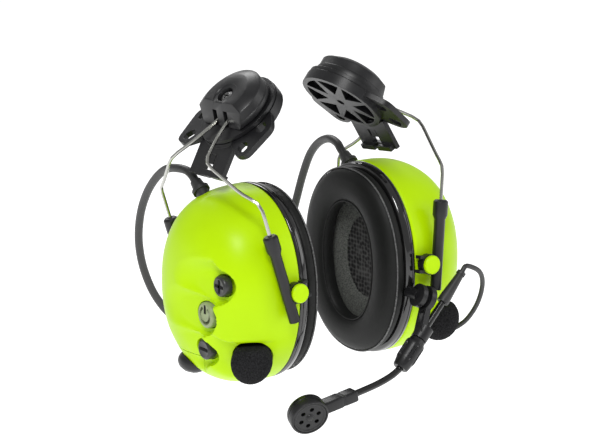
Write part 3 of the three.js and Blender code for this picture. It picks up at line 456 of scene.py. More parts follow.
def spun(profile, steps=64):
    """A solid of revolution about +Z from (radius, height) pairs that start and end on the axis."""
    bm = bmesh.new()
    verts = [bm.verts.new((radius, 0, height)) for radius, height in profile]
    edges = [bm.edges.new(pair) for pair in zip(verts, verts[1:])]
    bmesh.ops.spin(bm, geom=verts + edges, cent=(0, 0, 0), axis=(0, 0, 1), dvec=(0, 0, 0),
                   angle=2 * math.pi, steps=steps, use_merge=True, use_duplicate=False)
    bmesh.ops.remove_doubles(bm, verts=bm.verts, dist=1e-6)
    bmesh.ops.recalc_face_normals(bm, faces=bm.faces)
    return bm


def box(low, high):
    bm = bmesh.new()
    low, high = Vector(low), Vector(high)
    bmesh.ops.create_cube(bm, size=1)
    for vert in bm.verts:
        vert.co = [(low[i] + high[i]) / 2 + vert.co[i] * (high[i] - low[i]) for i in range(3)]
    return bm


def facing(place, aim, side=(0, 1, 0)):
    """A matrix that puts local +Z along aim, at a place."""
    z = Vector(aim).normalized()
    x = Vector(side).cross(z).normalized()
    y = z.cross(x)
    turn = Matrix((x, y, z)).transposed().to_4x4()
    return Matrix.Translation(place) @ turn


def temporary(bm):
    mesh = bpy.data.meshes.new("cutter")
    bm.to_mesh(mesh)
    bm.free()
    obj = bpy.data.objects.new("cutter", mesh)
    bpy.context.scene.collection.objects.link(obj)
    return obj


def combined(bm, others, operation="DIFFERENCE"):
    """The closed shape bm with each of the others taken away, joined or kept in common."""
    base = temporary(bm)
    tools = [temporary(other) for other in others]
    for tool in tools:
        modifier = base.modifiers.new("cut", "BOOLEAN")
        modifier.operation = operation
        modifier.solver = "MANIFOLD"
        modifier.object = tool
    result = bmesh.new()
    graph = bpy.context.evaluated_depsgraph_get()
    evaluated = base.evaluated_get(graph)
    mesh = evaluated.to_mesh()
    result.from_mesh(mesh)
    evaluated.to_mesh_clear()
    for obj in [base, *tools]:
        data = obj.data
        bpy.data.objects.remove(obj)
        bpy.data.meshes.remove(data)
    if not result.faces:
        raise RuntimeError("a cut left nothing behind")
    return result


def add_into(bm, other, slot_index=0):
    """Adds another bmesh's faces to bm with a material index."""
    for face in other.faces:
        face.material_index = slot_index
    mesh = bpy.data.meshes.new("part")
    other.to_mesh(mesh)
    other.free()
    bm.from_mesh(mesh)
    bpy.data.meshes.remove(mesh)
    return bm


def smoothed_route(points, per=8):
    """Points along a centripetal Catmull-Rom curve through the given ones."""
    points = [Vector(p) for p in points]
    ends = [2 * points[0] - points[1], *points, 2 * points[-1] - points[-2]]
    route = [points[0]]
    for p0, p1, p2, p3 in zip(ends, ends[1:], ends[2:], ends[3:]):
        t1 = math.sqrt((p1 - p0).length)
        t2 = t1 + math.sqrt((p2 - p1).length)
        t3 = t2 + math.sqrt((p3 - p2).length)
        for step in range(1, per + 1):
            t = t1 + (t2 - t1) * step / per
            a1 = p0 * ((t1 - t) / t1) + p1 * (t / t1)
            a2 = p1 * ((t2 - t) / (t2 - t1)) + p2 * ((t - t1) / (t2 - t1))
            a3 = p2 * ((t3 - t) / (t3 - t2)) + p3 * ((t - t2) / (t3 - t2))
            b1 = a1 * ((t2 - t) / t2) + a2 * (t / t2)
            b2 = a2 * ((t3 - t) / (t3 - t1)) + a3 * ((t - t1) / (t3 - t1))
            route.append(b1 * ((t2 - t) / (t2 - t1)) + b2 * ((t - t1) / (t2 - t1)))
    return route


def tube(route, radius, sides=20):
    """A closed tube along points: circles set square to the route and bridged."""
    bm = bmesh.new()
    rings = []
    side = Vector((0, 0, 1))
    for i, point in enumerate(route):
        aim = (route[min(i + 1, len(route) - 1)] - route[max(i - 1, 0)]).normalized()
        side = (side - aim * side.dot(aim)).normalized()
        if i == 0 and side.length < 0.5:
            side = aim.orthogonal().normalized()
        ring = bmesh.ops.create_circle(bm, cap_ends=False, radius=radius, segments=sides,
                                       matrix=facing(point, aim, side))["verts"]
        rings.append(list({edge for vert in ring for edge in vert.link_edges}))
    for first, second in zip(rings, rings[1:]):
        bmesh.ops.bridge_loops(bm, edges=first + second)
    bmesh.ops.holes_fill(bm, edges=rings[0] + rings[-1], sides=0)
    bmesh.ops.recalc_face_normals(bm, faces=bm.faces)
    return bm


def at_cups(points):
    return [Vector(p) * MM + Vector((0, 0, CUP_LEVEL)) for p in points]


def joint_place(name):
    joint = JOINTS[name]
    return Vector(joint["pos_m"]), Vector(joint["axis"])


# ---------------------------------------------------------------- operators
class HEADSET_OT_stage(bpy.types.Operator):
    """Camera, floor and studio light."""

    bl_idname = "headset.stage"
    bl_label = "Stage"

    def execute(self, context):
        scene = context.scene
        turn, rise = math.radians(CAMERA_TURN), math.radians(CAMERA_RISE)
        back = Vector((math.sin(turn) * math.cos(rise), -math.cos(turn) * math.cos(rise), math.sin(rise)))
        camera = bpy.data.objects.new("camera", bpy.data.cameras.new("camera"))
        scene.collection.objects.link(camera)
        camera.location = CAMERA_TARGET + back * CAMERA_REACH
        camera.rotation_mode = "QUATERNION"
        camera.rotation_quaternion = (-back).to_track_quat("-Z", "Y")
        camera.data.sensor_width = SENSOR
        camera.data.lens = LENS
        scene.camera = camera

        bm = bmesh.new()
        bmesh.ops.create_grid(bm, x_segments=1, y_segments=1, size=FLOOR_HALF)
        bm.transform(Matrix.Translation((0, 0, FLOOR_LEVEL)))
        mesh = bpy.data.meshes.new("floor")
        bm.to_mesh(mesh)
        bm.free()
        floor = bpy.data.objects.new("floor", mesh)
        scene.collection.objects.link(floor)
        pale = finish("pale_floor", (0.9, 0.9, 0.9), 0.9, mottle=0.005, mottle_size=400)
        shader = pale.node_tree.nodes["Principled BSDF"]
        shader.inputs["Emission Color"].default_value = WHITE
        shader.inputs["Emission Strength"].default_value = FLOOR_GLOW
        mesh.materials.append(pale)

        world = scene.world or bpy.data.worlds.new("studio")
        scene.world = world
        world.use_nodes = True
        background = world.node_tree.nodes["Background"]
        background.inputs["Color"].default_value = WHITE
        background.inputs["Strength"].default_value = SKY
        for name, place, size, energy in LIGHTS:
            lamp = bpy.data.objects.new(name, bpy.data.lights.new(name, "AREA"))
            scene.collection.objects.link(lamp)
            lamp.data.size = size
            lamp.data.energy = energy
            lamp.location = place
            lamp.rotation_mode = "QUATERNION"
            lamp.rotation_quaternion = (LIGHT_TARGET - lamp.location).to_track_quat("-Z", "Y")
        scene.view_settings.view_transform = "Standard"
        return {"FINISHED"}


def cord_pieces(name, node, route, radius, chain):
    """A cord cut into as many pieces as its chain has joints."""
    count = len(chain) - 1
    lengths = [0]
    for first, second in zip(route, route[1:]):
        lengths.append(lengths[-1] + (second - first).length)
    cuts = [min(range(len(route)), key=lambda i: abs(lengths[i] - lengths[-1] * k / count))
            for k in range(count + 1)]
    for k, (start, end) in enumerate(zip(cuts, cuts[1:])):
        stretch = route[start:end + 1]
        obj = piece(f"{name}_{k + 1}", tube(stretch, radius), [rubber()], None, [node])
        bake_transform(obj)


class HEADSET_OT_cords(bpy.types.Operator):
    """Neck cable and boom lead, each cut into one piece per joint between its ends."""

    bl_idname = "headset.cords"
    bl_label = "Cords"

    def execute(self, context):
        sizes = context.scene.headset_sizes
        cord_pieces("neck_cable", "neck_cable", smoothed_route(at_cups(NECK_ROUTE)),
                    sizes.neck_cable / 2, ARM_CHAIN)
        cord_pieces("boom_lead", "boom_lead", smoothed_route(at_cups(LEAD_ROUTE)),
                    sizes.boom_lead / 2, LEAD_CHAIN)
        return {"FINISHED"}


COVER_MASS = 0.15
COVER_PRESSURE = 4
SWELL_FRAMES = 20


def swell(obj, cap, is_held):
    """Cloth under light pressure, no gravity: the cover swells by at most cap and is then kept."""
    scene = bpy.context.scene
    rest = [vert.co.copy() for vert in obj.data.vertices]
    held = obj.vertex_groups.new(name="held")
    held.add([vert.index for vert in obj.data.vertices if is_held(vert.co)], 1.0, "REPLACE")
    cloth = obj.modifiers.new("cover", "CLOTH")
    cloth.settings.quality = 5
    cloth.settings.mass = COVER_MASS
    cloth.settings.use_pressure = True
    cloth.settings.uniform_pressure_force = COVER_PRESSURE
    cloth.settings.vertex_group_mass = "held"
    cloth.settings.effector_weights.gravity = 0
    cloth.point_cache.frame_start = 1
    cloth.point_cache.frame_end = SWELL_FRAMES
    for step in range(1, SWELL_FRAMES + 1):
        scene.frame_set(step)
    graph = bpy.context.evaluated_depsgraph_get()
    swollen = [vert.co.copy() for vert in obj.evaluated_get(graph).data.vertices]
    obj.modifiers.remove(cloth)
    obj.vertex_groups.remove(held)
    for vert, before, after in zip(obj.data.vertices, rest, swollen):
        move = after - before
        if move.length > cap:
            move = move.normalized() * cap
        vert.co = before + move
    scene.frame_set(1)


def cushion_profile(inset):
    """Stations round a cushion's section, from its back at the opening round to its back outside.

    Each row is a depth behind the front and how far it lies out from the opening or in from the rim."""
    back, front = CUSHION_BACK, CUSHION_BACK - CUSHION_DEPTH + inset
    outer = [size - inset for size in CUSHION_OUTER]
    opening = [size + inset for size in CUSHION_OPENING]
    rows = [(back, *(size + 0.6 * MM for size in opening))]
    rows += [(front + depth * MM, *(size + out * MM for size in opening)) for depth, out in (
        (7.5, 0), (5, 0.1), (2.9, 0.9), (1.3, 2.6), (0.4, 5), (0, 8.5))]
    rows += [(front + depth * MM, *(size - within * MM for size in outer)) for depth, within in (
        (0.2, 9), (0.9, 5.4), (2.1, 2.8), (3.9, 0.9), (6, 0), (8.2, 0))]
    rows.append((back, *(size - 0.4 * MM for size in outer)))
    return rows


def oval_tube(x, half_width, half_height, radius, count=160):
    """A thin closed ring that follows an oval, as a welded seam or a ridge."""
    path = []
    for i in range(count):
        y, z = on_oval(half_width, half_height, 2 * math.pi * i / count)
        path.append(Vector((x, y, z)))
    bm = bmesh.new()
    rings = []
    for i, point in enumerate(path):
        aim = path[(i + 1) % count] - path[i - 1]
        ring = bmesh.ops.create_circle(bm, cap_ends=False, radius=radius, segments=8,
                                       matrix=facing(point, aim, (1, 0, 0)))["verts"]
        rings.append(list({edge for vert in ring for edge in vert.link_edges}))
    for first, second in zip(rings, rings[1:] + rings[:1]):
        bmesh.ops.bridge_loops(bm, edges=first + second)
    bmesh.ops.recalc_face_normals(bm, faces=bm.faces)
    return bm


class HEADSET_OT_cushions(bpy.types.Operator):
    """Padded leatherette cushions with welded seams; the outer seam is painted lighter as a highlight."""

    bl_idname = "headset.cushions"
    bl_label = "Cushions"

    def execute(self, context):
        sizes = context.scene.headset_sizes
        for side in OUTWARD:
            bm = to_cup(oval_loft(cushion_profile(CUSHION_INSET), closed=True), side)
            obj = piece(f"{side}_ear_cushion", bm, [cover(), painted_seam_highlight()], None,
                        [f"{side}_cushion"], smooth=180)
            remesh = obj.modifiers.new("remesh", "REMESH")
            remesh.mode = "VOXEL"
            remesh.voxel_size = CUSHION_GRAIN
            graph = bpy.context.evaluated_depsgraph_get()
            mesh = bpy.data.meshes.new_from_object(obj.evaluated_get(graph))
            obj.modifiers.remove(remesh)
            old, obj.data = obj.data, mesh
            bpy.data.meshes.remove(old)
            back = CUSHION_BACK - CUSHION_HELD
            swell(obj, sizes.cushion_swell, lambda co: abs(co.x) > back)
            obj.data.shade_smooth()
            bm = bmesh.new()
            bm.from_mesh(obj.data)
            bmesh.ops.smooth_vert(bm, verts=bm.verts, factor=0.5,
                                  use_axis_x=True, use_axis_y=True, use_axis_z=True)
            front = CUSHION_BACK - CUSHION_DEPTH
            # seams with material index 1 take the painted highlight colour
            for depth, half_width, half_height, look in CUSHION_SEAMS:
                seam = oval_tube(front + depth, half_width, half_height, sizes.seam)
                add_into(bm, to_cup(seam, side), look)
            bm.to_mesh(obj.data)
            bm.free()
            obj.data.shade_smooth()
            fine = obj.modifiers.new("fine", "SUBSURF")
            fine.levels = fine.render_levels = 1
            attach(obj, f"{side}_cup")
        return {"FINISHED"}


class HEADSET_OT_liners(bpy.types.Operator):
    """Dished foam liners behind a woven mesh."""

    bl_idname = "headset.liners"
    bl_label = "Liners"

    def execute(self, context):
        half_width, half_height = LINER_HALF
        for side in OUTWARD:
            bm = bmesh.new()
            bmesh.ops.create_grid(bm, x_segments=72, y_segments=96, size=1)
            for vert in bm.verts:
                across, up = vert.co.xy
                across, up = across * math.sqrt(1 - up * up / 2), up * math.sqrt(1 - across * across / 2)
                reach = min(1, math.hypot(across, up))
                dish = LINER_DISH * (1 - eased(0.35, 0.97, reach))
                vert.co = (LINER_FRONT + dish, half_width * across, half_height * up)
            for face in bm.faces:
                middle = face.calc_center_median()
                rim = math.hypot(middle.y / half_width, middle.z / half_height)
                face.material_index = 1 if rim > LINER_MESH_SHARE else 0
            raised = bmesh.ops.extrude_face_region(bm, geom=bm.faces[:])["geom"]
            for vert in raised:
                if isinstance(vert, bmesh.types.BMVert):
                    vert.co.x = LINER_BACK
            bmesh.ops.recalc_face_normals(bm, faces=bm.faces)
            piece(f"{side}_lining", to_cup(bm, side), [mesh_liner(), grey_foam()], f"{side}_cup",
                  [f"{side}_foam_liner"], smooth=60)
        return {"FINISHED"}


def cup_reach(direction):
    """Where a ray from the parting plane's centre meets the cup's rounded body."""
    a, b, c = abs(direction.x), abs(direction.y), abs(direction.z)
    across = (b ** OVAL + c ** OVAL) ** (1 / OVAL)
    t = 1 / (a ** CROWN + across ** CROWN) ** (1 / CROWN)
    return Vector((PARTING + DEPTH * t * direction.x, HALF_WIDTH * t * direction.y,
                   HALF_HEIGHT * t * direction.z))


def eased(low, high, value):
    share = min(1, max(0, (value - low) / (high - low)))
    return share * share * (3 - 2 * share)


def basin_depth(y, z, depth):
    """Depth of the scalloped hollow round the keys: steep ahead of them, fading away behind."""
    reach = 0.0
    for centre_y, centre_z, radius, _ in BUTTONS.values():
        dy, dz = y - centre_y, z - centre_z
        behind = eased(*BASIN_TURN, dy)
        if dy > 0:
            dy /= BASIN_TRAIL
        soft = BASIN_STEEP + BASIN_SOFT * behind
        distance = math.hypot(dy, dz)
        edge = radius + BASIN_EDGE
        reach = max(reach, 1 - eased(edge, edge + soft, distance))
    fade = 1 - eased(*BASIN_FADE, y)
    return depth * reach * (BASIN_LEAST + (1 - BASIN_LEAST) * fade)


def shelf_depth(y, z):
    """Depth of the hollow round the windscreen, with a crisp lip above it."""
    distance = math.hypot(y - WINDSCREEN.y, z - WINDSCREEN.z) - WINDSCREEN_RADII.x
    near = 1 - eased(0, SHELF_REACH, distance)
    lip = SHELF_LIP + SHELF_LIP_RISE * eased(*SHELF_LIP_SPAN, y)
    below = 1 - eased(-SHELF_LIP_SOFT, SHELF_LIP_SOFT, z - lip)
    return SHELF_DEPTH * near * below * eased(*SHELF_FOOT, z)


def cup_solid(keys, shrink=0.0, subdivisions=7):
    """The cup's rounded body as one closed shape, with its sculpted hollows."""
    bm = bmesh.new()
    bmesh.ops.create_icosphere(bm, subdivisions=subdivisions, radius=1)
    geometry = bm.verts[:] + bm.edges[:] + bm.faces[:]
    bmesh.ops.bisect_plane(bm, geom=geometry, plane_co=(0, 0, 0), plane_no=(1, 0, 0), clear_inner=True)
    depth = bpy.context.scene.headset_sizes.basin
    for vert in bm.verts:
        direction = vert.co.copy()
        direction.x = max(0, direction.x)
        co = cup_reach(direction)
        if shrink:
            scale = 1 - shrink / HALF_WIDTH
            co = Vector((PARTING + (co.x - PARTING) * scale, co.y * scale, co.z * scale))
        if keys and co.x > BASIN_FROM:
            co.x -= basin_depth(co.y, co.z, depth)
        if co.y < 0:
            co.x -= shelf_depth(co.y, co.z) * eased(*SHELF_FROM, co.x)
        if keys and shrink:
            # wells are left standing round the keys
            for y, z, radius, face in BUTTONS.values():
                if math.hypot(co.y - y, co.z - z) < radius + WELL_WALL:
                    co.x = min(co.x, face - WELL_DEPTH)
        if not shrink:
            away = [(value - middle) / spread for value, middle, spread in zip(co.xy, DIP, DIP_SPREAD)]
            if co.z > 0:
                co.z -= DIP_DEPTH * math.exp(-(away[0] ** 2 + away[1] ** 2))
            co.yz = co.yz * (1 - EDGE_INSET * (1 - eased(0, EDGE_HEIGHT, co.x - PARTING)))
        vert.co = co
    edges = [edge for edge in bm.edges if edge.is_boundary]
    bmesh.ops.holes_fill(bm, edges=edges, sides=0)
    if shrink:
        bm.transform(Matrix.Translation((-HOLLOW_SINK, 0, 0)))
    bmesh.ops.recalc_face_normals(bm, faces=bm.faces)
    return bm


def ball(centre, radii, subdivisions=5):
    bm = bmesh.new()
    bmesh.ops.create_icosphere(bm, subdivisions=subdivisions, radius=1)
    for vert in bm.verts:
        vert.co = [centre[i] + vert.co[i] * radii[i] for i in range(3)]
    return bm


def lying(profile, y, z, steps=64):
    """A spun shape turned to stand outward from the cup at (y, z)."""
    bm = spun(profile, steps)
    bm.transform(Matrix.Translation((0, y, z)) @ Matrix.Rotation(math.pi / 2, 4, "Y"))
    return bm


class HEADSET_OT_shells(bpy.types.Operator):
    """Cup shells, their key wells, and the battery door."""

    bl_idname = "headset.shells"
    bl_label = "Shells"

    def execute(self, context):
        pocket_radii = WINDSCREEN_RADII + Vector((FOAM_GAP, FOAM_GAP, FOAM_GAP))
        for side in OUTWARD:
            keys = side == "right"
            cutters = [cup_solid(keys, shrink=SHELL_WALL, subdivisions=6), ball(WINDSCREEN, pocket_radii)]
            if keys:
                for y, z, radius, face in BUTTONS.values():
                    bore, floor = radius + KEY_GAP, face - KEY_BORE
                    cutters.append(lying([(0, floor), (bore, floor), (bore, OUTSIDE), (0, OUTSIDE)], y, z))
            else:
                y, z, half_width, half_height, low = TALK
                pocket = oval_loft(
                    [(low, half_width, half_height), (OUTSIDE, half_width, half_height)], count=64)
                pocket.transform(Matrix.Translation((0, y, z)))
                cutters.append(pocket)
            shell = combined(cup_solid(keys), cutters)
            if keys:
                gap = Vector((DOOR_GAP, DOOR_GAP, DOOR_GAP))
                door = combined(cup_solid(keys), [cup_solid(keys, shrink=SHELL_WALL, subdivisions=6)])
                door = combined(door, [box(DOOR_LOW, DOOR_HIGH)], "INTERSECT")
                shell = combined(shell, [box(DOOR_LOW - gap, DOOR_HIGH + gap)])
                piece("battery_cover", to_cup(door, side), [hi_vis()], "battery_door",
                      ["right_battery_door"], smooth=35)
            piece(f"{side}_shell", to_cup(shell, side), [hi_vis()], f"{side}_cup",
                  [f"{side}_cup_shell"], smooth=35)
        return {"FINISHED"}


class HEADSET_OT_plates(bpy.types.Operator):
    """Glossy rings between shells and cushions."""

    bl_idname = "headset.plates"
    bl_label = "Plates"

    def execute(self, context):
        rows = [(PLATE_INNER, *PLATE_OPENING)]
        rows += [(PLATE_INNER + depth * MM, HALF_WIDTH - within * MM, HALF_HEIGHT - within * MM)
                 for depth, within in PLATE_EDGE]
        rows.append((rows[-1][0], *PLATE_OPENING))
        for side in OUTWARD:
            bm = to_cup(oval_loft(rows, count=160, closed=True), side)
            piece(f"{side}_ring", bm, [gloss()], f"{side}_cup", [f"{side}_base_plate"],
                  smooth=50)
        return {"FINISHED"}


def key_symbol(name, radius):
    """Plus, minus or power mark as raised bars and an open ring, on the face at height 0."""
    low, high = MARK_FOOT, MARK_TOP
    half, reach = MARK_HALF, radius * MARK_REACH
    bm = bmesh.new()
    if name != "power_button":
        add_into(bm, box((-half, -reach, low), (half, reach, high)), 1)
        if name == "plus_button":
            add_into(bm, box((-reach, -half, low), (reach, half, high)), 1)
        return bm
    ring = bmesh.new()
    inner, outer = [radius * share for share in POWER_RING]
    far, near = [-radius * share for share in POWER_BAR]
    section = [ring.verts.new(co) for co in (
        (inner, 0, low), (outer, 0, low), (outer, 0, high), (inner, 0, high))]
    face = ring.faces.new(section)
    open_angle = math.radians(POWER_OPENING)
    bmesh.ops.rotate(ring, verts=ring.verts, cent=(0, 0, 0),
                     matrix=Matrix.Rotation(math.pi + open_angle / 2, 3, "Z"))
    bmesh.ops.spin(ring, geom=[face], cent=(0, 0, 0), axis=(0, 0, 1), dvec=(0, 0, 0),
                   angle=2 * math.pi - open_angle, steps=48, use_merge=False, use_duplicate=True)
    bmesh.ops.remove_doubles(ring, verts=ring.verts, dist=1e-7)
    bmesh.ops.recalc_face_normals(ring, faces=ring.faces)
    add_into(bm, ring, 1)
    add_into(bm, box((far, -half, low), (near, half, high)), 1)
    return bm


KEY_LOOKS = {"power_button": (translucent, "translucent")}  # the other keys are black


class HEADSET_OT_keys(bpy.types.Operator):
    """Keys on the right cup, each with its raised mark."""

    bl_idname = "headset.keys"
    bl_label = "Keys"

    def execute(self, context):
        for name, (y, z, radius, face) in BUTTONS.items():
            low = KEY_SINK - KEY_BACK
            bm = spun([
                (0, low), (radius, low), (radius, -1.3 * MM), (radius - 0.25 * MM, -0.7 * MM),
                (radius - 0.8 * MM, -0.2 * MM), (radius - 1.5 * MM, 0), (radius - 2 * MM, -0.15 * MM),
                (0, -0.35 * MM),
            ])
            mark = key_symbol(name, radius)
            mark.transform(Matrix.Translation((0, 0, -MARK_DROP)))
            add_into(bm, mark, 1)
            bm.transform(Matrix.Translation((face - KEY_SINK, y, z)) @ Matrix.Rotation(math.pi / 2, 4, "Y"))
            to_cup(bm, "right")
            made, slot = KEY_LOOKS.get(name, (key_plastic, "black_plastic"))
            piece(f"{name}_key", bm, [made(), key_mark()], f"{name}_body", [name], smooth=30)
        return {"FINISHED"}


class HEADSET_OT_windscreens(bpy.types.Operator):
    """Foam windscreens over the ambient microphones."""

    bl_idname = "headset.windscreens"
    bl_label = "Windscreens"

    def execute(self, context):
        for side in OUTWARD:
            bm = ball(WINDSCREEN, WINDSCREEN_RADII, subdivisions=6)
            top = WINDSCREEN.z + FOAM_SHOULDER
            for vert in bm.verts:
                if vert.co.z > top:
                    vert.co.z = top + (vert.co.z - top) * FOAM_FLATNESS
                vert.co += vert.normal * FOAM_ROUGHNESS * noise.noise(vert.co / FOAM_CELL)
            piece(f"{side}_windscreen_foam", to_cup(bm, side), [foam()], f"{side}_cup",
                  [f"{side}_windscreen"], smooth=180)
        return {"FINISHED"}


HUB_LEAN = {"left": (-8, 48), "right": (-4, 50.7)}  # degrees of roll and tilt
HUB_CAP_LOW = 8.8 * MM
HUB_CAP_TOP = 20.8 * MM
HUB_CAP_RADIUS = 21.5 * MM
HUB_FACE_START = 6 * MM  # where the cut face leaves the cap's top
HUB_FACE_TURN = -31
HUB_SHARP = 0.6  # radians between faces past which an edge is bevelled
WIRE_SLOT_PLACE = 5 * MM
WIRE_SLOT_HALF = 1.9 * MM
WIRE_SLOT_TOP = 16.4 * MM
SCREW_SEAT = 4.95 * MM
SCREW_BORE = 2.35 * MM


def hub_matrix(side):
    """The hub's frame: z along the swivel axis, x down towards the blade."""
    place, _ = joint_place(f"{side}_swivel")
    roll, tilt = HUB_LEAN[side]
    turn = Matrix.Rotation(0 if side == "left" else math.pi, 4, "Z")
    lean = (Matrix.Rotation(math.radians(OUTWARD[side] * roll), 4, "X")
            @ Matrix.Rotation(math.radians(90 - tilt), 4, "Y"))
    return Matrix.Translation(place) @ turn @ lean


class HEADSET_OT_hubs(bpy.types.Operator):
    """Bevelled hub caps with a cut face and two wire slots."""

    bl_idname = "headset.hubs"
    bl_label = "Hub caps"

    def execute(self, context):
        r, low, top = HUB_CAP_RADIUS, HUB_CAP_LOW, HUB_CAP_TOP
        profile = [
            (0, low), (r - 0.4 * MM, low), (r, low + 0.4 * MM), (r, low + 3.2 * MM),
            (r - 0.5 * MM, low + 3.5 * MM), (r - 0.5 * MM, top - 3.6 * MM), (r - 0.9 * MM, top - 3.1 * MM),
            (r - 6.4 * MM, top - 0.15 * MM), (r - 6.9 * MM, top), (7.6 * MM, top),
            (7.3 * MM, top - 0.5 * MM), (0, top - 0.5 * MM),
        ]
        for side in OUTWARD:
            flat = box((0, -60 * MM, -60 * MM), (60 * MM, 60 * MM, 60 * MM))
            flat.transform(Matrix.Translation((HUB_FACE_START, 0, top))
                           @ Matrix.Rotation(math.radians(HUB_FACE_TURN), 4, "Y"))
            slots = [box((0.6 * MM, y - WIRE_SLOT_HALF, 0), (30 * MM, y + WIRE_SLOT_HALF, WIRE_SLOT_TOP))
                     for y in (-WIRE_SLOT_PLACE, WIRE_SLOT_PLACE)]
            seat = top - 3.8 * MM
            head = spun([(0, seat), (SCREW_SEAT, seat), (SCREW_SEAT, OUTSIDE), (0, OUTSIDE)])
            bore = spun([(0, 0), (SCREW_BORE, 0), (SCREW_BORE, OUTSIDE), (0, OUTSIDE)], 32)
            bm = combined(spun(profile, 128), [flat, *slots, head, bore])
            sharp = [edge for edge in bm.edges
                     if len(edge.link_faces) == 2 and edge.calc_face_angle(0) > HUB_SHARP]
            bmesh.ops.bevel(bm, geom=sharp, offset=0.3 * MM, offset_type="OFFSET", segments=2, profile=0.5,
                            affect="EDGES", clamp_overlap=True, material=-1)
            bm.transform(hub_matrix(side))
            piece(f"{side}_hub_cover", bm, [plastic()], f"{side}_hub",
                  [f"{side}_hub_cap"], smooth=35)
        return {"FINISHED"}


GRIP_START = 4.3 * MM
GRIP_END = 23.8 * MM
GRIP_RADIUS = 5.6 * MM
GRIP_NECK = 4.2 * MM
GRIP_HOLE = 2.25 * MM
GRIP_RIBS = 6
GRIP_GROOVE = 0.15  # share of the radius
ROD_RADIUS = 1.9 * MM
ROD_STRAIGHT = (-21, -10, 0, 12, 24.8)  # millimetres along the nut's axis
CAPSULE_RADIUS = 11 * MM
CAPSULE_HALF = 4.5 * MM
CAPSULE_OVERLAP = 8.6 * MM
CAPSULE_AIM = (-0.2, -0.93, -0.32)
GRILLE_HOLES = 6
GRILLE_HOLE = 1.3 * MM
GRILLE_CIRCLE = 5.3 * MM


def grip_nut():
    """The ribbed grip nut along +Z, from the joint's place."""
    start, end = GRIP_START, GRIP_END
    wide, narrow, hole = GRIP_RADIUS, GRIP_NECK, GRIP_HOLE
    profile = [
        (hole, start), (narrow, start), (narrow + 0.4 * MM, start + 0.8 * MM),
        (narrow + 0.4 * MM, start + 1.8 * MM), (wide - 0.3 * MM, start + 2.6 * MM),
    ]
    profile += [(wide, start + 3.6 * MM + i * 1.1 * MM) for i in range(10)]
    profile += [
        (wide - 0.5 * MM, end - 4.4 * MM), (narrow + 0.3 * MM, end - 0.6 * MM),
        (narrow - 0.2 * MM, end), (hole, end),
    ]
    bm = bmesh.new()
    verts = [bm.verts.new((radius, 0, height)) for radius, height in profile]
    edges = [bm.edges.new(pair) for pair in zip(verts, verts[1:] + verts[:1])]
    bmesh.ops.spin(bm, geom=verts + edges, cent=(0, 0, 0), axis=(0, 0, 1), dvec=(0, 0, 0),
                   angle=2 * math.pi, steps=96, use_merge=True, use_duplicate=False)
    bmesh.ops.remove_doubles(bm, verts=bm.verts, dist=1e-6)
    bmesh.ops.recalc_face_normals(bm, faces=bm.faces)
    for vert in bm.verts:
        if math.hypot(vert.co.x, vert.co.y) > narrow + 0.6 * MM:
            groove = eased(0.35, 0.75, math.cos(GRIP_RIBS * math.atan2(vert.co.y, vert.co.x)))
            groove *= eased(start + 3.8 * MM, start + 5 * MM, vert.co.z)
            groove *= 1 - eased(end - 6.4 * MM, end - 5.2 * MM, vert.co.z)
            vert.co.xy *= 1 - GRIP_GROOVE * groove
    return bm


def stepped_neck(reach):
    """The microphone's neck along +Z: two bevelled blocks with a thinner one between them."""
    bm = bmesh.new()
    for low, high, half_x, half_y, edge in (
        (0, 9 * MM, 4 * MM, 3.2 * MM, 1.1 * MM),
        (8.6 * MM, 10 * MM, 3.7 * MM, 2.9 * MM, 0.4 * MM),
        (9.6 * MM, reach, 4.1 * MM, 3.3 * MM, 1.1 * MM),
    ):
        block = box((-half_x, -half_y, low), (half_x, half_y, high))
        bmesh.ops.bevel(block, geom=block.edges[:], offset=edge, offset_type="OFFSET", segments=4,
                        profile=0.5, affect="EDGES", clamp_overlap=True, material=-1)
        add_into(bm, block)
    return bm


def capsule_body():
    r, half = CAPSULE_RADIUS, CAPSULE_HALF
    return spun([
        (0, -half), (r - 2.6 * MM, -half), (r - 1.2 * MM, -half + 0.4 * MM),
        (r - 0.4 * MM, -half + 1.2 * MM), (r - 0.1 * MM, -half + 2.2 * MM), (r - 0.1 * MM, -0.6 * MM),
        (r - 0.5 * MM, -0.4 * MM), (r - 0.5 * MM, 0), (r, 0.2 * MM), (r, half - 1 * MM),
        (r - 0.25 * MM, half - 0.3 * MM), (r - 0.8 * MM, half), (r - 1.3 * MM, half - 0.1 * MM),
        (r - 1.35 * MM, half - 1.9 * MM), (r - 2.6 * MM, half - 1.9 * MM),
        (r - 2.6 * MM, -2.5 * MM), (0, -2.5 * MM),
    ], 96)


def capsule_disc():
    """The grille: a dished disc with a boss in its middle and a ring of holes."""
    low, high = CAPSULE_HALF - 1.6 * MM, CAPSULE_HALF - 0.2 * MM
    disc = spun([
        (0, low), (9.6 * MM, low), (9.6 * MM, high - 0.3 * MM), (9.3 * MM, high), (8.4 * MM, high),
        (8.1 * MM, high - 0.35 * MM), (2.2 * MM, high - 0.35 * MM), (1.9 * MM, high + 0.3 * MM),
        (1.5 * MM, high + 0.55 * MM), (0, high + 0.6 * MM),
    ], 96)
    holes = []
    for i in range(GRILLE_HOLES):
        cut = spun([(0, 0), (GRILLE_HOLE, 0), (GRILLE_HOLE, 0.02), (0, 0.02)], 24)
        angle = 2 * math.pi * i / GRILLE_HOLES
        place = (GRILLE_CIRCLE * math.cos(angle), GRILLE_CIRCLE * math.sin(angle), 0)
        cut.transform(Matrix.Translation(place))
        holes.append(cut)
    return combined(disc, holes)


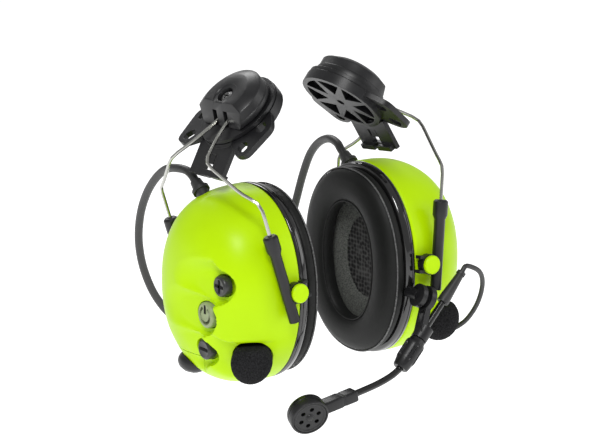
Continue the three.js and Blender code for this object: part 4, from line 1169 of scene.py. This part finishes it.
class HEADSET_OT_boom(bpy.types.Operator):
    """Grip nut, gooseneck and microphone capsule."""

    bl_idname = "headset.boom"
    bl_label = "Boom"

    def execute(self, context):
        neck, aim = joint_place("nut_turn")
        grip = grip_nut()
        grip.transform(facing(neck, aim))
        piece("boom_grip", grip, [plastic()], "boom_nut_body", ["boom_grip_nut"],
              smooth=50)

        straight = [neck + aim * distance * MM for distance in ROD_STRAIGHT]
        route = straight[:-1] + smoothed_route([straight[-1], *at_cups(BEND_ROUTE)], per=14)
        piece("boom_rod", tube(route, ROD_RADIUS, sides=24), [rod_finish()], "boom_arm",
              ["boom_gooseneck"], smooth=60)

        start = at_cups(BEND_ROUTE)[-2]
        centre = at_cups([CAPSULE_CENTRE])[0]
        block = stepped_neck((centre - start).length - CAPSULE_OVERLAP)
        block.transform(facing(start, centre - start, (0, 0, 1)))
        body, disc = capsule_body(), capsule_disc()
        for bm in (body, disc):
            bm.transform(facing(centre, CAPSULE_AIM))
        for name, bm, node in (
            ("capsule_neck", block, "mic_neck"),
            ("capsule_housing", body, "mic_housing"),
            ("capsule_grille", disc, "mic_grille"),
        ):
            piece(name, bm, [plastic()], "boom_arm", [node], smooth=35)
        return {"FINISHED"}


CARRIED = (  # the end of a CAD node's name, and its finish; the others are black plastic
    ("_wire", steel), ("_pivot_cap", hi_vis_edged), ("_hub_screw", screw_steel),
    ("_ambient_mic", screw_steel),
    ("_cable_gland", rubber), ("lead_gland", rubber), ("boom_sleeve", rubber), ("battery_1", cell_sleeve),
    ("battery_2", cell_sleeve), ("circuit_board", board_green), ("mic_insert", foam),
)


class HEADSET_OT_finishes(bpy.types.Operator):
    """Finishes and smooth shading for the CAD nodes that still show."""

    bl_idname = "headset.finishes"
    bl_label = "Finishes"

    def execute(self, context):
        for name, node in frame["nodes"].items():
            if node.hide_render:
                continue
            make = next((made for ending, made in CARRIED if name.endswith(ending)), plastic)
            node.data.materials.clear()
            node.data.materials.append(make())
            if node.data.has_custom_normals:
                node.data.attributes.remove(node.data.attributes["custom_normal"])
            weld = node.modifiers.new("weld", "WELD")
            weld.merge_threshold = 1e-6
            node.data.shade_smooth()
            split = node.modifiers.new("sharp", "EDGE_SPLIT")
            split.split_angle = math.radians(33)
        return {"FINISHED"}


ORDER = (
    HEADSET_OT_stage, HEADSET_OT_cords, HEADSET_OT_cushions, HEADSET_OT_liners, HEADSET_OT_shells,
    HEADSET_OT_plates, HEADSET_OT_keys, HEADSET_OT_windscreens, HEADSET_OT_hubs, HEADSET_OT_boom,
    HEADSET_OT_finishes,
)


class HEADSET_PT_panel(bpy.types.Panel):
    """Lists the pieces of the ear muffs."""

    bl_idname = "HEADSET_PT_panel"
    bl_label = "Ear muffs"
    bl_space_type = "VIEW_3D"
    bl_region_type = "UI"
    bl_category = "Ear muffs"

    def draw(self, context):
        for name in HeadsetSizes.__annotations__:
            self.layout.prop(context.scene.headset_sizes, name)
        for name in HeadsetColours.__annotations__:
            self.layout.prop(context.scene.headset_colours, name)
        for operator in ORDER:
            self.layout.operator(operator.bl_idname)


CLASSES = (HeadsetSizes, HeadsetColours, *ORDER, HEADSET_PT_panel)


def register():
    for cls in CLASSES:
        bpy.utils.register_class(cls)
    bpy.types.Scene.headset_sizes = bpy.props.PointerProperty(type=HeadsetSizes)
    bpy.types.Scene.headset_colours = bpy.props.PointerProperty(type=HeadsetColours)


def unregister():
    del bpy.types.Scene.headset_colours
    del bpy.types.Scene.headset_sizes
    for cls in reversed(CLASSES):
        bpy.utils.unregister_class(cls)


def main():
    register()
    for operator in ORDER:
        group, name = operator.bl_idname.split(".")
        getattr(getattr(bpy.ops, group), name)()


if __name__ == "__main__":
    main()
